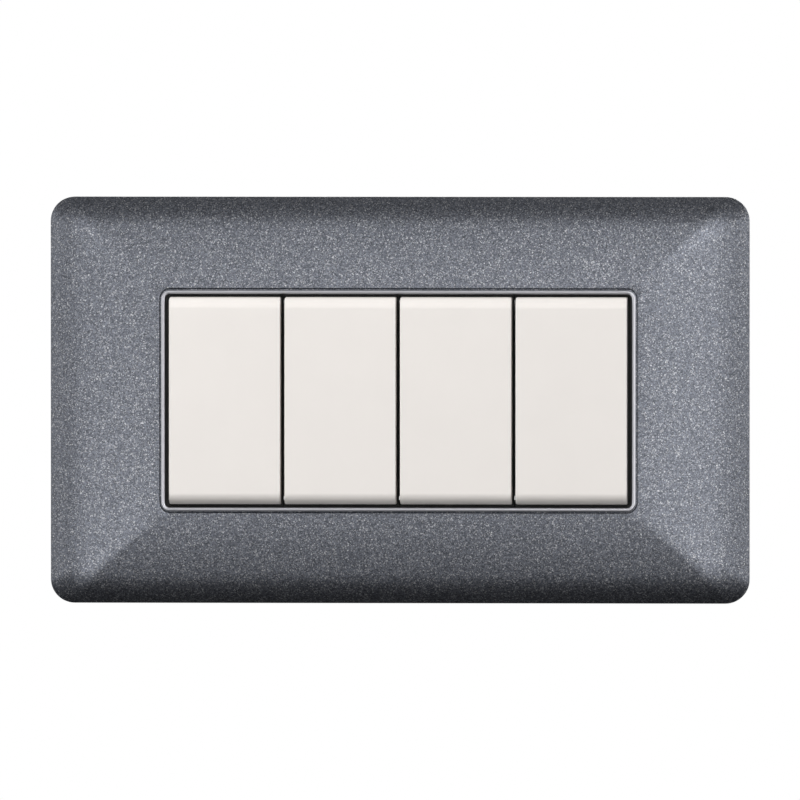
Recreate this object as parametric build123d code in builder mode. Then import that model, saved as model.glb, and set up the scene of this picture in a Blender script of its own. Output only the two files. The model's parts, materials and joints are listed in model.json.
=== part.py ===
from build123d import *
from math import cos, radians, sin, sqrt, tan
import os

# Wall switch plate for four modular rocker switches, in millimetres.
# The wall is the plane Y = 0. The room lies towards -Y and the wall box towards +Y.
# X runs to the right and Z runs up. The origin is midway between the two box screws, on the wall.
# "Forward" is a distance from the wall into the room, "depth" a distance from the wall into the box.

# Row of modules
MODULE_COUNT = 4
MODULE_PITCH = 22.5
BOX_SCREW_OFFSET = 9.0

# Rocker key
KEY_GAP = 0.77
KEY_HEIGHT = 40.43
KEY_PROUD = 1.6
KEY_SKIRT_LENGTH = 4.0
KEY_WALL = 1.4
KEY_END_ROUND = 2.2
KEY_END_DRAFT = 1.5
KEY_SIDE_ROUND = 0.55
KEY_TILT = 4.0

# Cover plate
PLATE_OVERHANG_X = 6.65
PLATE_OVERHANG_Z = 8.8
PLATE_CORNER = 4.7
PLATE_EDGE = 2.0
PLATE_WALL = 2.0
PLATE_RISE = 3.85
CREST_CORNER = 3.0
EDGE_SLOPE = 58.0
SHOULDER_SLOPE = 15.0
CREST_SLOPE = 6.0
SHOULDER_SHARE = 0.3
CROWN_STEPS = 10
RIM_WIDTH = 0.8
RIM_PROUD = 0.3
RIM_ROUND = 0.2
GROOVE_WIDTH = 0.3
GROOVE_DEPTH = 0.35
WINDOW_SIDE_GAP = 0.855
WINDOW_END_GAP = 0.565
WINDOW_CORNER = 0.95
SKIRT_WALL = 1.4
SKIRT_CLEARANCE = 0.3
RIB_THICKNESS = 1.2
RIB_CLEARANCE = 0.6
POST_RADIUS = 1.6
POST_INSET = (5.5, 5.5)
POST_CLEARANCE = 0.1
PRY_SLOT_WIDTH = 9.0
PRY_SLOT_HEIGHT = 1.1

# Snap hooks that hold the cover plate on the support frame
HOOK_SPACING = 66.0
HOOK_WIDTH = 7.0
HOOK_THICKNESS = 1.3
HOOK_CATCH = 0.9
HOOK_HEAD = 0.8
HOOK_TIP = 0.2
HOOK_CLEARANCE = 0.25

# Support frame
FRAME_THICKNESS = 2.4
FRAME_RAIL = 8.1
FRAME_END = 2.0
FRAME_CORNER = 3.0
FRAME_WALL = 1.2
FRAME_WALL_HEIGHT = 1.8
FRAME_CLEARANCE = 0.3
SCREW_SLOT_WIDTH = 4.2
SCREW_SLOT_TRAVEL = 3.2
SCREW_SEAT_DEPTH = 0.8
SCREW_SEAT_MARGIN = 0.5
FRAME_EDGE_CHAMFER = 0.4
POCKET_LENGTH = 15.0
POCKET_MARGIN = 1.2
POCKET_DEPTH = 1.2
POCKET_CORNER = 0.6

# Box screw
BOX_SCREW_HEAD = 3.4
BOX_SCREW_HEAD_HEIGHT = 1.9
BOX_SCREW_NECK = 1.5
BOX_SCREW_THREAD = 1.75
BOX_SCREW_LENGTH = 20.0
BOX_SCREW_POINT = 2.0
BOX_SCREW_START = 0.3
DRIVE_SLOT_WIDTH = 0.9
DRIVE_SLOT_DEPTH = 0.8

# Switch housing
MODULE_GAP = 0.2
FLANGE_LAP = 1.62
FLANGE_THICKNESS = 2.05
FLANGE_CORNER = 0.8
HOUSING_GAP = 0.9
HOUSING_INSET = 0.915
HOUSING_WALL = 1.2
HOUSING_CORNER = 0.8
TRAY_DEPTH = 2.2
OPENING_CLEARANCE = 0.2
PARTITION_GAP = 0.9
PARTITION_THICKNESS = 1.2
PARTITION_WINDOW = (6.0, 8.0)
CLAW_WIDTH = 4.5
CLAW_SPACING = 11.0
CLAW_CATCH = 0.9
CLAW_RAMP = 3.4
CLAW_CLEARANCE = 0.1
CLAW_SLIT = 0.6
CLAW_SLIT_START = 0.8
CLAW_SLIT_LENGTH = 6.0
LATCH_SPACING = 20.0
LATCH_WIDTH = 4.4
LATCH_THICKNESS = 1.0
LATCH_REACH = 3.6
LATCH_BUMP = 0.7
LATCH_BUMP_LENGTH = 1.3
LATCH_CLEARANCE = 0.1
SPACER_RIB_WIDTH = 1.0
SPACER_RIB_SPACING = 30.0
SPACER_RIB_CLEARANCE = 0.15
SPACER_RIB_END = 2.0

# Key pivot, arms and plunger guide
PIVOT_FORWARD = 1.2
TRUNNION_RADIUS = 1.5
TRUNNION_LENGTH = 1.1
TRUNNION_CLEARANCE = 0.06
ARM_THICKNESS = 1.3
ARM_HALF_WIDTH = 2.8
ARM_CLEARANCE = 0.3
GUIDE_RADIUS = 3.0
GUIDE_BORE_ROOF = 3.2
KEY_RIB_THICKNESS = 1.0
KEY_RIB_LENGTH = 14.0
KEY_RIB_DROP = 3.0
KEY_CROSS_RIB_SPACING = 22.0
KEY_CROSS_RIB_DROP = 2.0

# Plunger and its spring
PLUNGER_RADIUS = 1.8
PLUNGER_CLEARANCE = 0.05
PLUNGER_REACH = 12.0
PLUNGER_LENGTH = 9.3
PLUNGER_SHOW = 4.3
SPIGOT_RADIUS = 0.95
SPIGOT_LENGTH = 1.4
SPRING_RADIUS = 1.35
SPRING_WIRE = 0.2
SPRING_TURNS = 6
SPRING_CLEARANCE = 0.1

# Contact blade, a seesaw on two small ears
BLADE_WIDTH = 5.0
BLADE_OVERHANG = 1.8
BLADE_THICKNESS = 0.8
BLADE_END_ROUND = 2.3
BLADE_RATIO = 1.75
BLADE_TIP_GAP = 0.12
EAR_RADIUS = 0.5
EAR_LENGTH = 1.4
EAR_CLEARANCE = 0.06
CONTACT_SETBACK = 6.4
RIVET_RADIUS = 1.6
RIVET_HEAD = 0.7
RIVET_SHANK = 0.8
CONTACT_CLEARANCE = 0.06

# Terminal strips
STRIP_THICKNESS = 1.0
CRADLE_WALL = 0.8
CRADLE_GAP = 0.4
CRADLE_HALF_HEIGHT = 1.9
CRADLE_LIP = 0.7
STRIP_GAP = 2.8
STRIP_END_CLEARANCE = 0.1
CONTACT_PAD = 4.4

# Terminal screws and clamp plates
TERMINAL_SCREW_RADIUS = 1.7
HEAD_INSET = 0.8
TERMINAL_SCREW_HEAD_HEIGHT = 2.4
TERMINAL_SCREW_OVERRUN = 0.7
THREAD_CLEARANCE = 0.02
WIRE_GAP = 3.7
CLAMP_INSET = 0.5
CLAMP_PLATE_THICKNESS = 1.2
CLAMP_HOLE_CLEARANCE = 0.15
CLAMP_GROOVE = 0.5

# Rear base of a switch
CHAMBER_SIDE_WALL = 1.0
CHAMBER_PARTITION = 2.4
CHAMBER_END_WALL = 1.2
CHAMBER_ROOF = 0.8
WELL_CLEARANCE = 0.3
WELL_LENGTH = 2.3
MOUTH_HEIGHT = 3.5
MOUTH_FUNNEL = 0.5
FUNNEL_ANGLE = 45.0
BASE_REAR_ROUND = 0.8
BARRIER_THICKNESS = 1.0
BARRIER_HEIGHT = 1.0

# Places worked out from the sizes above
MODULE_XS = [(index - (MODULE_COUNT - 1) / 2) * MODULE_PITCH for index in range(MODULE_COUNT)]
ROW_WIDTH = MODULE_COUNT * MODULE_PITCH
KEY_WIDTH = MODULE_PITCH - KEY_GAP
WINDOW_WIDTH = ROW_WIDTH - KEY_GAP + 2 * WINDOW_SIDE_GAP
WINDOW_HEIGHT = KEY_HEIGHT + 2 * WINDOW_END_GAP

FLANGE_WIDTH = MODULE_PITCH - MODULE_GAP
FLANGE_HEIGHT = WINDOW_HEIGHT + 2 * FLANGE_LAP
FLANGE_FRONT = FRAME_THICKNESS + FLANGE_THICKNESS
HOUSING_WIDTH = MODULE_PITCH - HOUSING_GAP
HOUSING_HEIGHT = KEY_HEIGHT - 2 * HOUSING_INSET
HOUSING_INSIDE_WIDTH = HOUSING_WIDTH - 2 * HOUSING_WALL
HOUSING_INSIDE_HEIGHT = HOUSING_HEIGHT - 2 * HOUSING_WALL

SCREW_SEAT_RADIUS = BOX_SCREW_HEAD + SCREW_SEAT_MARGIN
BOX_SCREW_SPACING = ROW_WIDTH + 2 * BOX_SCREW_OFFSET
BOX_SCREW_XS = (-BOX_SCREW_SPACING / 2, BOX_SCREW_SPACING / 2)
FRAME_POCKET_HEIGHT = FLANGE_HEIGHT + 2 * FRAME_CLEARANCE
FRAME_WIDTH = BOX_SCREW_SPACING + 2 * (SCREW_SEAT_RADIUS + SCREW_SLOT_TRAVEL / 2 + FRAME_END)
FRAME_HEIGHT = FRAME_POCKET_HEIGHT + 2 * FRAME_RAIL
FRAME_OPENING_WIDTH = ROW_WIDTH + 2 * OPENING_CLEARANCE
FRAME_OPENING_HEIGHT = HOUSING_HEIGHT + 2 * OPENING_CLEARANCE
HOOK_XS = (-HOOK_SPACING / 2, HOOK_SPACING / 2)

PLATE_WIDTH = FRAME_WIDTH + 2 * PLATE_OVERHANG_X
PLATE_HEIGHT = FRAME_HEIGHT + 2 * PLATE_OVERHANG_Z
PLATE_CREST = FLANGE_FRONT + PLATE_RISE
RIM_CREST = PLATE_CREST + RIM_PROUD
SKIRT_BACK = FLANGE_FRONT + SKIRT_CLEARANCE

KEY_FACE = RIM_CREST + KEY_PROUD
KEY_BACK = KEY_FACE - KEY_SKIRT_LENGTH
GUIDE_BORE_TOP = KEY_FACE - KEY_WALL - GUIDE_BORE_ROOF

PLUNGER_TIP = PLUNGER_REACH - PIVOT_FORWARD
GUIDE_DEPTH = PLUNGER_TIP - PLUNGER_SHOW
PARTITION_DEPTH = GUIDE_DEPTH + PARTITION_GAP

CHAMBER_END = HOUSING_HEIGHT / 2 - CHAMBER_END_WALL
CHAMBER_WIDTH = (HOUSING_INSIDE_WIDTH - CHAMBER_PARTITION) / 2 - CHAMBER_SIDE_WALL
CHAMBER_LENGTH = CHAMBER_WIDTH
TERMINAL_REACH = CHAMBER_END - CHAMBER_LENGTH / 2
CONTACT_ARM = TERMINAL_REACH - CONTACT_SETBACK

BLADE_TILT = KEY_TILT * BLADE_RATIO
BLADE_LENGTH = 2 * (CONTACT_ARM + BLADE_OVERHANG)
BLADE_FRONT = PLUNGER_TIP + BLADE_TIP_GAP
BLADE_PIVOT = BLADE_FRONT + BLADE_THICKNESS / 2
DOME_RADIUS = (RIVET_RADIUS**2 + RIVET_HEAD**2) / (2 * RIVET_HEAD)


def fixed_contact_depth():
    """Depth of a fixed contact's crown, where the blade's own contact comes to rest on it at full tilt."""
    tilt = radians(BLADE_TILT)
    lever = BLADE_THICKNESS / 2 + RIVET_HEAD - DOME_RADIUS
    moving_depth = BLADE_PIVOT + lever * cos(tilt) + CONTACT_ARM * sin(tilt)
    moving_z = CONTACT_ARM * cos(tilt) - lever * sin(tilt)
    reach = 2 * DOME_RADIUS + CONTACT_CLEARANCE
    fixed_centre = moving_depth + sqrt(reach**2 - (moving_z - CONTACT_ARM) ** 2)
    return fixed_centre - DOME_RADIUS


STRIP_FRONT = fixed_contact_depth() + RIVET_HEAD
STRIP_BACK = STRIP_FRONT + STRIP_THICKNESS
HOUSING_DEPTH = STRIP_BACK - TRAY_DEPTH
CLAMP_FRONT = STRIP_BACK + WIRE_GAP
CLAMP_BACK = CLAMP_FRONT + CLAMP_PLATE_THICKNESS
CHAMBER_BACK = CLAMP_BACK + CHAMBER_ROOF
BASE_BACK = CHAMBER_BACK + WELL_LENGTH

CLAMP_PLATE_WIDTH = CHAMBER_WIDTH - 2 * CLAMP_INSET
CLAMP_PLATE_LENGTH = CHAMBER_LENGTH - 2 * CLAMP_INSET
TERMINAL_SCREW_HEAD = CHAMBER_WIDTH / 2 - HEAD_INSET
TERMINAL_OFFSET = (CHAMBER_PARTITION + CHAMBER_WIDTH) / 2
TERMINAL_PAD = 2 * TERMINAL_OFFSET - STRIP_GAP
TERMINAL_END = HOUSING_INSIDE_HEIGHT / 2 - STRIP_END_CLEARANCE

# Terminal screw places as (x, z): the upper throw, the lower throw and the common
UPPER_TERMINAL = (0.0, TERMINAL_REACH)
LOWER_TERMINAL = (-TERMINAL_OFFSET, -TERMINAL_REACH)
COMMON_TERMINAL = (TERMINAL_OFFSET, -TERMINAL_REACH)
TERMINALS = [UPPER_TERMINAL, LOWER_TERMINAL, COMMON_TERMINAL]


def at_forward(distance):
    """Plane parallel to the wall, in front of it. Its sketch axes are X and Z."""
    return Plane.XZ.offset(distance)


def at_depth(distance):
    """Plane parallel to the wall, inside the box. A negative extrude runs deeper."""
    return Plane.XZ.offset(-distance)


def block(x_range, y_range, z_range, mode=Mode.ADD):
    """A straight block between two values on each axis."""
    sizes = [high - low for low, high in (x_range, y_range, z_range)]
    centre = [(high + low) / 2 for low, high in (x_range, y_range, z_range)]
    with Locations(tuple(centre)):
        Box(*sizes, mode=mode)


def area(x_range, z_range, corner=0.0):
    """A rectangle of a sketch that lies parallel to the wall."""
    with Locations(((x_range[0] + x_range[1]) / 2, (z_range[0] + z_range[1]) / 2)):
        width, height = x_range[1] - x_range[0], z_range[1] - z_range[0]
        if corner:
            RectangleRounded(width, height, corner)
        else:
            Rectangle(width, height)


# Cover plate


def crown_stations():
    """The crown's section as shares of wing width and of rise, at even steps along its length.
    A tight arc forms the shoulder by the outer edge and a shallow arc runs on to the rim."""
    edge, shoulder, crest = (radians(a) for a in (EDGE_SLOPE, SHOULDER_SLOPE, CREST_SLOPE))
    tight = SHOULDER_SHARE / (sin(edge) - sin(shoulder))
    shallow = (1 - SHOULDER_SHARE) / (sin(shoulder) - sin(crest))
    tight_length = tight * (edge - shoulder)
    shallow_length = shallow * (shoulder - crest)
    shoulder_rise = tight * (cos(shoulder) - cos(edge))
    total_rise = shoulder_rise + shallow * (cos(crest) - cos(shoulder))
    stations = []
    for step in range(CROWN_STEPS + 1):
        along = (tight_length + shallow_length) * step / CROWN_STEPS
        if along < tight_length:
            slope = edge - along / tight
            run = tight * (sin(edge) - sin(slope))
            rise = tight * (cos(slope) - cos(edge))
        else:
            slope = shoulder - (along - tight_length) / shallow
            run = SHOULDER_SHARE + shallow * (sin(shoulder) - sin(slope))
            rise = shoulder_rise + shallow * (cos(slope) - cos(shoulder))
        stations.append((run, rise / total_rise))
    return stations


def crown(inset):
    """The pillow-shaped crown, from the back plane to the flat ground of the rim, shrunk by an inset."""
    ground_width = WINDOW_WIDTH + 2 * (RIM_WIDTH + GROOVE_WIDTH)
    ground_height = WINDOW_HEIGHT + 2 * (RIM_WIDTH + GROOVE_WIDTH)
    with BuildPart() as body:
        for run, rise in crown_stations():
            width = PLATE_WIDTH + (ground_width - PLATE_WIDTH) * run - 2 * inset
            height = PLATE_HEIGHT + (ground_height - PLATE_HEIGHT) * run - 2 * inset
            corner = PLATE_CORNER + (CREST_CORNER - PLATE_CORNER) * run - inset * (1 - run)
            with BuildSketch(at_forward(PLATE_EDGE + (PLATE_CREST - PLATE_EDGE) * rise - inset)):
                RectangleRounded(width, height, corner)
        loft()
        if PLATE_EDGE > inset:
            with BuildSketch(at_forward(0)):
                RectangleRounded(
                    PLATE_WIDTH - 2 * inset, PLATE_HEIGHT - 2 * inset, PLATE_CORNER - inset
                )
            extrude(amount=PLATE_EDGE - inset)
    return body.part


def plate_hollow():
    """The space behind the cover plate, less the skirt, ribs, posts and snap hooks that stand in it."""
    frame_edge = FRAME_HEIGHT / 2
    deep = (-RIM_CREST, -HOOK_TIP)
    with BuildPart() as hollow:
        add(crown(PLATE_WALL))
        with BuildSketch(at_forward(SKIRT_BACK)):
            RectangleRounded(
                WINDOW_WIDTH + 2 * SKIRT_WALL,
                WINDOW_HEIGHT + 2 * SKIRT_WALL,
                WINDOW_CORNER + SKIRT_WALL,
            )
        extrude(amount=PLATE_CREST, mode=Mode.SUBTRACT)
        for side in (-1, 1):
            post = sorted(
                side * (frame_edge + HOOK_CLEARANCE + t) for t in (0, HOOK_THICKNESS)
            )
            catch = sorted((side * (frame_edge - HOOK_CATCH), post[side < 0]))
            for x in HOOK_XS:
                hook_x = (x - HOOK_WIDTH / 2, x + HOOK_WIDTH / 2)
                block(hook_x, deep, tuple(post), mode=Mode.SUBTRACT)
                block(
                    hook_x,
                    (-HOOK_TIP - HOOK_HEAD, -HOOK_TIP),
                    tuple(catch),
                    mode=Mode.SUBTRACT,
                )
            rib_start = FRAME_POCKET_HEIGHT / 2 + FRAME_WALL + FRAME_CLEARANCE
            rib_z = sorted((side * rib_start, side * PLATE_HEIGHT / 2))
            rib_y = (-RIM_CREST, -FRAME_THICKNESS - RIB_CLEARANCE)
            for x in MODULE_XS:
                block(
                    (x - RIB_THICKNESS / 2, x + RIB_THICKNESS / 2),
                    rib_y,
                    tuple(rib_z),
                    mode=Mode.SUBTRACT,
                )
        # Posts that stand off the frame's four corners
        post_spacing = (FRAME_WIDTH - 2 * POST_INSET[0], FRAME_HEIGHT - 2 * POST_INSET[1])
        with BuildSketch(at_forward(FRAME_THICKNESS + POST_CLEARANCE)):
            with GridLocations(*post_spacing, 2, 2):
                Circle(POST_RADIUS)
        extrude(amount=RIM_CREST, mode=Mode.SUBTRACT)
    return hollow.part


def make_cover_plate():
    with BuildPart() as cover_plate:
        add(crown(0))
        # Groove round the rim, then the rim itself
        with BuildSketch(at_forward(PLATE_CREST - GROOVE_DEPTH)):
            RectangleRounded(
                WINDOW_WIDTH + 2 * (RIM_WIDTH + GROOVE_WIDTH),
                WINDOW_HEIGHT + 2 * (RIM_WIDTH + GROOVE_WIDTH),
                WINDOW_CORNER + RIM_WIDTH + GROOVE_WIDTH,
            )
        extrude(amount=2 * GROOVE_DEPTH, mode=Mode.SUBTRACT)
        with BuildSketch(at_forward(PLATE_CREST - GROOVE_DEPTH)):
            RectangleRounded(
                WINDOW_WIDTH + 2 * RIM_WIDTH,
                WINDOW_HEIGHT + 2 * RIM_WIDTH,
                WINDOW_CORNER + RIM_WIDTH,
            )
        extrude(amount=GROOVE_DEPTH + RIM_PROUD)
        add(plate_hollow(), mode=Mode.SUBTRACT)
        with BuildSketch(at_forward(0)):
            RectangleRounded(WINDOW_WIDTH, WINDOW_HEIGHT, WINDOW_CORNER)
        extrude(amount=2 * RIM_CREST, mode=Mode.SUBTRACT)
        rim_face = cover_plate.faces().filter_by(Axis.Y).sort_by(Axis.Y)[0]
        fillet(rim_face.edges(), radius=RIM_ROUND)
        # Slot for prising the plate off, at the foot
        block(
            (-PRY_SLOT_WIDTH / 2, PRY_SLOT_WIDTH / 2),
            (-PRY_SLOT_HEIGHT, PRY_SLOT_HEIGHT),
            (-PLATE_HEIGHT / 2 - PLATE_WALL, -PLATE_HEIGHT / 2 + 1.5 * PLATE_WALL),
            mode=Mode.SUBTRACT,
        )
    return cover_plate.part


# Support frame and its two screws


def make_support_frame():
    with BuildPart() as support_frame:
        with BuildSketch(at_forward(0)):
            RectangleRounded(FRAME_WIDTH, FRAME_HEIGHT, FRAME_CORNER)
        extrude(amount=FRAME_THICKNESS)
        chamfer(support_frame.edges().group_by(Axis.Y)[0], length=FRAME_EDGE_CHAMFER)
        # Low wall that the module flanges sit inside
        with BuildSketch(at_forward(FRAME_THICKNESS)):
            Rectangle(
                FRAME_OPENING_WIDTH + 2 * FRAME_WALL, FRAME_POCKET_HEIGHT + 2 * FRAME_WALL
            )
            Rectangle(FRAME_OPENING_WIDTH, FRAME_POCKET_HEIGHT, mode=Mode.SUBTRACT)
        extrude(amount=FRAME_WALL_HEIGHT)
        with BuildSketch(at_forward(0)):
            Rectangle(FRAME_OPENING_WIDTH, FRAME_OPENING_HEIGHT)
        extrude(amount=FRAME_THICKNESS, mode=Mode.SUBTRACT)
        # Lightening pockets along both rails, one beside each module
        wall_edge = FRAME_POCKET_HEIGHT / 2 + FRAME_WALL
        pocket_width = FRAME_HEIGHT / 2 - wall_edge - 2 * POCKET_MARGIN
        with BuildSketch(at_forward(FRAME_THICKNESS - POCKET_DEPTH)):
            with GridLocations(
                MODULE_PITCH, wall_edge + FRAME_HEIGHT / 2, MODULE_COUNT, 2
            ):
                RectangleRounded(POCKET_LENGTH, pocket_width, POCKET_CORNER)
        extrude(amount=POCKET_DEPTH, mode=Mode.SUBTRACT)
        # Sunk seats and slots for the box screws
        places = [(x, 0) for x in BOX_SCREW_XS]
        with BuildSketch(at_forward(FRAME_THICKNESS - SCREW_SEAT_DEPTH)):
            with Locations(*places):
                SlotCenterToCenter(SCREW_SLOT_TRAVEL, 2 * SCREW_SEAT_RADIUS)
        extrude(amount=SCREW_SEAT_DEPTH, mode=Mode.SUBTRACT)
        with BuildSketch(at_forward(0)):
            with Locations(*places):
                SlotCenterToCenter(SCREW_SLOT_TRAVEL, SCREW_SLOT_WIDTH)
        extrude(amount=FRAME_THICKNESS, mode=Mode.SUBTRACT)
        # Undercuts behind the edge that the cover's hooks reach into
        for side in (-1, 1):
            undercut = sorted(
                side * (FRAME_HEIGHT / 2 + t) for t in (-HOOK_CATCH - HOOK_CLEARANCE, HOOK_CATCH)
            )
            for x in HOOK_XS:
                half = HOOK_WIDTH / 2 + HOOK_CLEARANCE
                block(
                    (x - half, x + half),
                    (-HOOK_TIP - HOOK_HEAD - HOOK_CLEARANCE, HOOK_TIP),
                    tuple(undercut),
                    mode=Mode.SUBTRACT,
                )
    return support_frame.part


def make_box_screw():
    """Pan-head screw about the Y axis. Its head rests in the frame's sunk seat."""
    seat = -(FRAME_THICKNESS - SCREW_SEAT_DEPTH)
    top = seat - BOX_SCREW_HEAD_HEIGHT
    end = BOX_SCREW_LENGTH + BOX_SCREW_START
    with BuildPart() as screw:
        with BuildSketch(Plane.XY):
            with BuildLine():
                Polyline(
                    (0, top),
                    (BOX_SCREW_HEAD * 0.6, top),
                    (BOX_SCREW_HEAD, top + BOX_SCREW_HEAD_HEIGHT * 0.5),
                    (BOX_SCREW_HEAD, seat),
                    (BOX_SCREW_NECK, seat),
                    (BOX_SCREW_NECK, BOX_SCREW_START),
                    (BOX_SCREW_THREAD, BOX_SCREW_START),
                    (BOX_SCREW_THREAD, end),
                    (0, end + BOX_SCREW_POINT),
                    close=True,
                )
            make_face()
        revolve(axis=Axis.Y)
        block(
            (-BOX_SCREW_HEAD, BOX_SCREW_HEAD),
            (top, top + DRIVE_SLOT_DEPTH),
            (-DRIVE_SLOT_WIDTH / 2, DRIVE_SLOT_WIDTH / 2),
            mode=Mode.SUBTRACT,
        )
    return screw.part


def make_box_screws():
    screw = make_box_screw()
    with BuildPart() as box_screws:
        for x in BOX_SCREW_XS:
            add(screw.moved(Location((x, 0, 0))))
    return box_screws.part


# Rocker key with its arms, pivots and plunger guide


def key_body(inset):
    """The key's block with slightly drafted ends, shrunk by an inset, open side towards the wall."""
    face = KEY_FACE - inset
    back_half = KEY_HEIGHT / 2 - inset
    face_half = back_half - (face - KEY_BACK) * tan(radians(KEY_END_DRAFT))
    with BuildPart() as body:
        with BuildSketch(Plane.YZ):
            with BuildLine():
                Polyline(
                    (-face, -face_half),
                    (-face, face_half),
                    (-KEY_BACK, back_half),
                    (-KEY_BACK, -back_half),
                    close=True,
                )
            make_face()
        extrude(amount=KEY_WIDTH / 2 - inset, both=True)
        fillet(
            body.edges().filter_by(Axis.X).group_by(Axis.Y)[0], radius=KEY_END_ROUND - inset
        )
    return body.part


def make_key():
    inside = HOUSING_INSIDE_WIDTH / 2 - ARM_CLEARANCE
    underside = -(KEY_FACE - KEY_WALL / 2)
    with BuildPart() as key:
        add(key_body(0))
        for face in (key.faces().sort_by(Axis.X)[0], key.faces().sort_by(Axis.X)[-1]):
            rim = face.edges().sort_by(Axis.Y)[:-1]
            fillet(rim, radius=KEY_SIDE_ROUND)
        add(key_body(KEY_WALL), mode=Mode.SUBTRACT)
        # Two arms with rounded ends, each with a trunnion
        for side in (-1, 1):
            with BuildSketch(Plane.YZ.offset(side * inside)):
                with Locations((-PIVOT_FORWARD, 0)):
                    Circle(ARM_HALF_WIDTH)
                arm_length = -PIVOT_FORWARD - underside
                with Locations((-PIVOT_FORWARD - arm_length / 2, 0)):
                    Rectangle(arm_length, 2 * ARM_HALF_WIDTH)
            extrude(amount=-side * ARM_THICKNESS)
            block(
                tuple(sorted((side * (inside - ARM_THICKNESS), side * (KEY_WIDTH - KEY_WALL) / 2))),
                (underside, -KEY_BACK),
                (-ARM_HALF_WIDTH, ARM_HALF_WIDTH),
            )
            with BuildSketch(Plane.YZ.offset(side * inside)):
                with Locations((-PIVOT_FORWARD, 0)):
                    Circle(TRUNNION_RADIUS)
            extrude(amount=side * TRUNNION_LENGTH)
        # Plunger guide tube, the rib along the key that carries it and two ribs across
        with BuildSketch(at_depth(GUIDE_DEPTH)):
            Circle(GUIDE_RADIUS)
        extrude(amount=GUIDE_DEPTH - underside)
        block(
            (-KEY_RIB_THICKNESS / 2, KEY_RIB_THICKNESS / 2),
            (underside, underside + KEY_RIB_DROP),
            (-KEY_RIB_LENGTH, KEY_RIB_LENGTH),
        )
        for z in (-KEY_CROSS_RIB_SPACING / 2, KEY_CROSS_RIB_SPACING / 2):
            block(
                (KEY_WALL / 2 - KEY_WIDTH / 2, KEY_WIDTH / 2 - KEY_WALL / 2),
                (underside, underside + KEY_CROSS_RIB_DROP),
                (z - KEY_RIB_THICKNESS / 2, z + KEY_RIB_THICKNESS / 2),
            )
        with BuildSketch(at_depth(GUIDE_DEPTH)):
            Circle(PLUNGER_RADIUS + PLUNGER_CLEARANCE)
        extrude(amount=GUIDE_DEPTH + GUIDE_BORE_TOP, mode=Mode.SUBTRACT)
    return key.part


# Plunger and spring


def make_plunger():
    inner_end = PLUNGER_TIP - PLUNGER_LENGTH
    with BuildPart() as plunger:
        with BuildSketch(Plane.XY):
            with BuildLine():
                Polyline(
                    (0, PLUNGER_TIP),
                    (0, inner_end - SPIGOT_LENGTH),
                    (SPIGOT_RADIUS, inner_end - SPIGOT_LENGTH),
                    (SPIGOT_RADIUS, inner_end),
                    (PLUNGER_RADIUS, inner_end),
                    (PLUNGER_RADIUS, PLUNGER_TIP - PLUNGER_RADIUS),
                )
                RadiusArc(
                    (PLUNGER_RADIUS, PLUNGER_TIP - PLUNGER_RADIUS),
                    (0, PLUNGER_TIP),
                    -PLUNGER_RADIUS,
                )
            make_face()
        revolve(axis=Axis.Y)
    return plunger.part


def make_spring():
    """Coil between the blind end of the key's bore and the plunger's shoulder."""
    start = -GUIDE_BORE_TOP + SPRING_CLEARANCE + SPRING_WIRE
    end = PLUNGER_TIP - PLUNGER_LENGTH - SPRING_CLEARANCE - SPRING_WIRE
    with BuildPart() as spring:
        with BuildLine() as coil:
            Helix(
                pitch=(end - start) / SPRING_TURNS,
                height=end - start,
                radius=SPRING_RADIUS,
                center=(0, start, 0),
                direction=(0, 1, 0),
            )
        with BuildSketch(Plane(coil.line @ 0, z_dir=coil.line % 0)):
            Circle(SPRING_WIRE)
        sweep(path=coil.line, is_frenet=True)
    return spring.part


# Contact blade and the silver contacts


def make_contact_blade():
    with BuildPart() as contact_blade:
        with BuildSketch(at_depth(BLADE_FRONT)):
            RectangleRounded(BLADE_WIDTH, BLADE_LENGTH, BLADE_END_ROUND)
            with Locations((0, -CONTACT_ARM), (0, CONTACT_ARM)):
                Circle(RIVET_SHANK, mode=Mode.SUBTRACT)
        extrude(amount=-BLADE_THICKNESS)
        for side in (-1, 1):
            with BuildSketch(Plane.YZ.offset(side * (BLADE_WIDTH / 2 - EAR_RADIUS))):
                with Locations((BLADE_PIVOT, 0)):
                    Circle(EAR_RADIUS)
            extrude(amount=side * (EAR_LENGTH + EAR_RADIUS))
    return contact_blade.part


def make_rivet(crown_depth, head_base, tail_depth):
    """Domed contact rivet about the Y axis, from its crown to the far end of its shank."""
    toward = 1 if crown_depth > head_base else -1
    with BuildPart() as rivet:
        with BuildSketch(Plane.XY):
            with BuildLine():
                RadiusArc(
                    (0, crown_depth), (RIVET_RADIUS, head_base), toward * DOME_RADIUS
                )
                Polyline(
                    (RIVET_RADIUS, head_base),
                    (RIVET_SHANK, head_base),
                    (RIVET_SHANK, tail_depth),
                    (0, tail_depth),
                    (0, crown_depth),
                )
            make_face()
        revolve(axis=Axis.Y)
    return rivet.part


def pair_on_contact_arm(piece):
    with BuildPart() as pair:
        for z in (-CONTACT_ARM, CONTACT_ARM):
            add(piece.moved(Location((0, 0, z))))
    return pair.part


def make_moving_contacts():
    blade_back = BLADE_FRONT + BLADE_THICKNESS
    return pair_on_contact_arm(make_rivet(blade_back + RIVET_HEAD, blade_back, BLADE_FRONT))


def make_fixed_contacts():
    return pair_on_contact_arm(
        make_rivet(STRIP_FRONT - RIVET_HEAD, STRIP_FRONT, STRIP_BACK)
    )


# Terminal strips


def terminal_hole(place):
    with Locations(place):
        Circle(TERMINAL_SCREW_RADIUS + THREAD_CLEARANCE, mode=Mode.SUBTRACT)


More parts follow.
